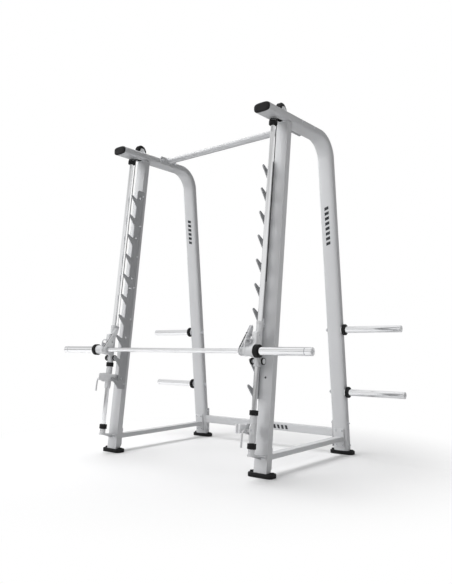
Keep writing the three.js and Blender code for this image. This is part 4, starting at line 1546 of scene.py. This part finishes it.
def slanted_marks(count, width, height):
    """A row of plain slanted bars, standing a hair above the surface, along local Z."""
    half, slant = width / 2, height * 0.45
    bars = []
    for i in range(count):
        low = (i - (count - 1) / 2) * MARK_PITCH - height / 2
        high = low + height
        outline = [(-half, low), (half, low + slant), (half, high + slant), (-half, high)]
        bars.append(plate(outline, -0.0003, 0.0003, edge=0.0001))
    return placed(joined(*bars), Matrix.Rotation(pi / 2, 4, "Z"))


def leg_marks(count, z):
    """On the leg's front face, on its flat middle."""
    marks = slanted_marks(count, 0.034, 0.022)
    return placed(marks, LEG @ Matrix.Translation((SIDE_X - 0.002, -ARCH_THICKNESS / 2 - 0.0001, z)))


def cross_marks():
    """On the crossmember's front face."""
    marks = placed(slanted_marks(9, 0.030, 0.021), Matrix.Rotation(pi / 2, 4, "Y"))
    return placed(marks, Matrix.Translation((0.06, leg_y(CROSS_Z) - 0.0202, CROSS_Z)))


piece("leg_marks_r", leg_marks(8, 1.655), GRAPHITE, "frame")
piece("leg_marks_l", mirrored(leg_marks(6, 1.768)), GRAPHITE, "frame")
piece("cross_marks", cross_marks(), GRAPHITE, "frame")


# ---------------------------------------------------------------- studio

FLOOR_COLOUR = (0.72, 0.72, 0.725, 1)
FLOOR_FADE = {"from_min": 0.8, "from_max": 2.1, "to_min": 0.15}  # metres, and how white by then


def studio_floor():
    """A pale sheet that turns evenly white away from the machine, so that no horizon shows."""
    shape = bmesh.new()
    bmesh.ops.create_circle(shape, cap_ends=True, segments=96, radius=40)
    floor = linked("floor", mesh_of(shape, "floor"))
    floor.location.z = -0.0005
    material = bpy.data.materials.new("pale_floor")
    material.use_nodes = True
    nodes, link = material.node_tree.nodes, material.node_tree.links.new
    pale = with_inputs(nodes["Principled BSDF"], roughness=0.55, base_color=FLOOR_COLOUR)
    white = nodes.new("ShaderNodeEmission")
    distance = nodes.new("ShaderNodeVectorMath")
    distance.operation = "LENGTH"
    link(nodes.new("ShaderNodeTexCoord").outputs["Object"], distance.inputs[0])
    fade = with_inputs(nodes.new("ShaderNodeMapRange"), **FLOOR_FADE)
    fade.interpolation_type = "SMOOTHSTEP"
    link(distance.outputs["Value"], fade.inputs["Value"])
    seen = nodes.new("ShaderNodeMath")
    seen.operation = "MULTIPLY"
    link(fade.outputs["Result"], seen.inputs[0])
    link(nodes.new("ShaderNodeLightPath").outputs["Is Camera Ray"], seen.inputs[1])
    mix = nodes.new("ShaderNodeMixShader")
    link(seen.outputs[0], mix.inputs[0])
    link(pale.outputs[0], mix.inputs[1])
    link(white.outputs[0], mix.inputs[2])
    link(mix.outputs[0], nodes["Material Output"].inputs["Surface"])
    floor.data.materials.append(material)


SKY_BANDS = (  # height from straight down, 0, to straight up, 1, and brightness
    (0.0, 0.85), (0.47, 0.9), (0.515, 0.46), (0.545, 0.95),
    (0.70, 1.0), (0.80, 0.62), (0.88, 1.05), (1.0, 1.1),
)
SKY_STRENGTHS = (("soft", 0.07), ("gloss", 0.93), ("seen", 1.0))


def studio_world():
    """White behind the machine, a softer even light on it, and a banded sky for the chrome."""
    world = bpy.data.worlds.new("studio")
    bpy.context.scene.world = world
    world.use_nodes = True
    nodes, link = world.node_tree.nodes, world.node_tree.links.new
    nodes.clear()
    axes = nodes.new("ShaderNodeSeparateXYZ")
    link(nodes.new("ShaderNodeTexCoord").outputs["Generated"], axes.inputs[0])
    height = with_inputs(nodes.new("ShaderNodeMapRange"), from_min=-1)
    link(axes.outputs["Z"], height.inputs["Value"])
    bands = nodes.new("ShaderNodeValToRGB")
    ramp = bands.color_ramp
    while len(ramp.elements) < len(SKY_BANDS):
        ramp.elements.new(0.5)
    for element, (position, value) in zip(ramp.elements, SKY_BANDS):
        element.position = position
        element.color = (value, value, value, 1)
    link(height.outputs["Result"], bands.inputs["Fac"])
    skies = {}
    for name, strength in SKY_STRENGTHS:
        even = nodes.new("ShaderNodeBackground")
        skies[name] = with_inputs(even, color=(1, 1, 1, 1), strength=strength)
    link(bands.outputs["Color"], skies["gloss"].inputs["Color"])
    path = nodes.new("ShaderNodeLightPath")
    sky = skies["soft"]
    for ray, other in (("Is Glossy Ray", "gloss"), ("Is Camera Ray", "seen")):
        mix = nodes.new("ShaderNodeMixShader")
        link(path.outputs[ray], mix.inputs[0])
        link(sky.outputs[0], mix.inputs[1])
        link(skies[other].outputs[0], mix.inputs[2])
        sky = mix
    link(sky.outputs[0], nodes.new("ShaderNodeOutputWorld").inputs["Surface"])


def softbox(name, at, target, size, power):
    """A square lamp that chrome doesn't show: it reflects the sky's bands instead."""
    light = bpy.data.lights.new(name, "AREA")
    light.shape = "SQUARE"
    light.size = size
    light.energy = power
    lamp = linked(name, light)
    lamp.location = at
    lamp.visible_glossy = False
    lamp.rotation_euler = (Vector(target) - Vector(at)).to_track_quat("-Z", "Y").to_euler()


LENS = 37.0319  # millimetres, for a sensor 36 mm along the picture's longer side
LENS_SHIFT = (0.0123288, 0.0059932)  # how far off centre the lens axis is, in longer sides
CAMERA_AT = (2.8208, -3.4128, 0.7955)
CAMERA_YAW = radians(39.63)
CAMERA_RISE = radians(4.60)


def studio_camera():
    """The photograph's camera: where it stands, how it is turned, and its off-centre lens axis."""
    camera = bpy.data.cameras.new("camera")
    camera.sensor_fit = "AUTO"
    camera.sensor_width = 36
    camera.lens = LENS
    camera.shift_x, camera.shift_y = LENS_SHIFT
    view = linked("camera", camera)
    view.location = CAMERA_AT
    view.rotation_euler = (pi / 2 + CAMERA_RISE, 0, CAMERA_YAW)
    bpy.context.scene.camera = view


studio_floor()
studio_world()
softbox("overhead", (-1.9, -0.3, 5.0), (-0.8, 0.1, 0), 3.4, 320)
softbox("key", (-2.6, -6.0, 3.5), (0, 0, 1.0), 6.0, 380)
softbox("side", (2.6, -0.9, 1.5), (0.7, 0, 1.1), 1.8, 17)
studio_camera()
bpy.context.scene.view_settings.view_transform = "Standard"
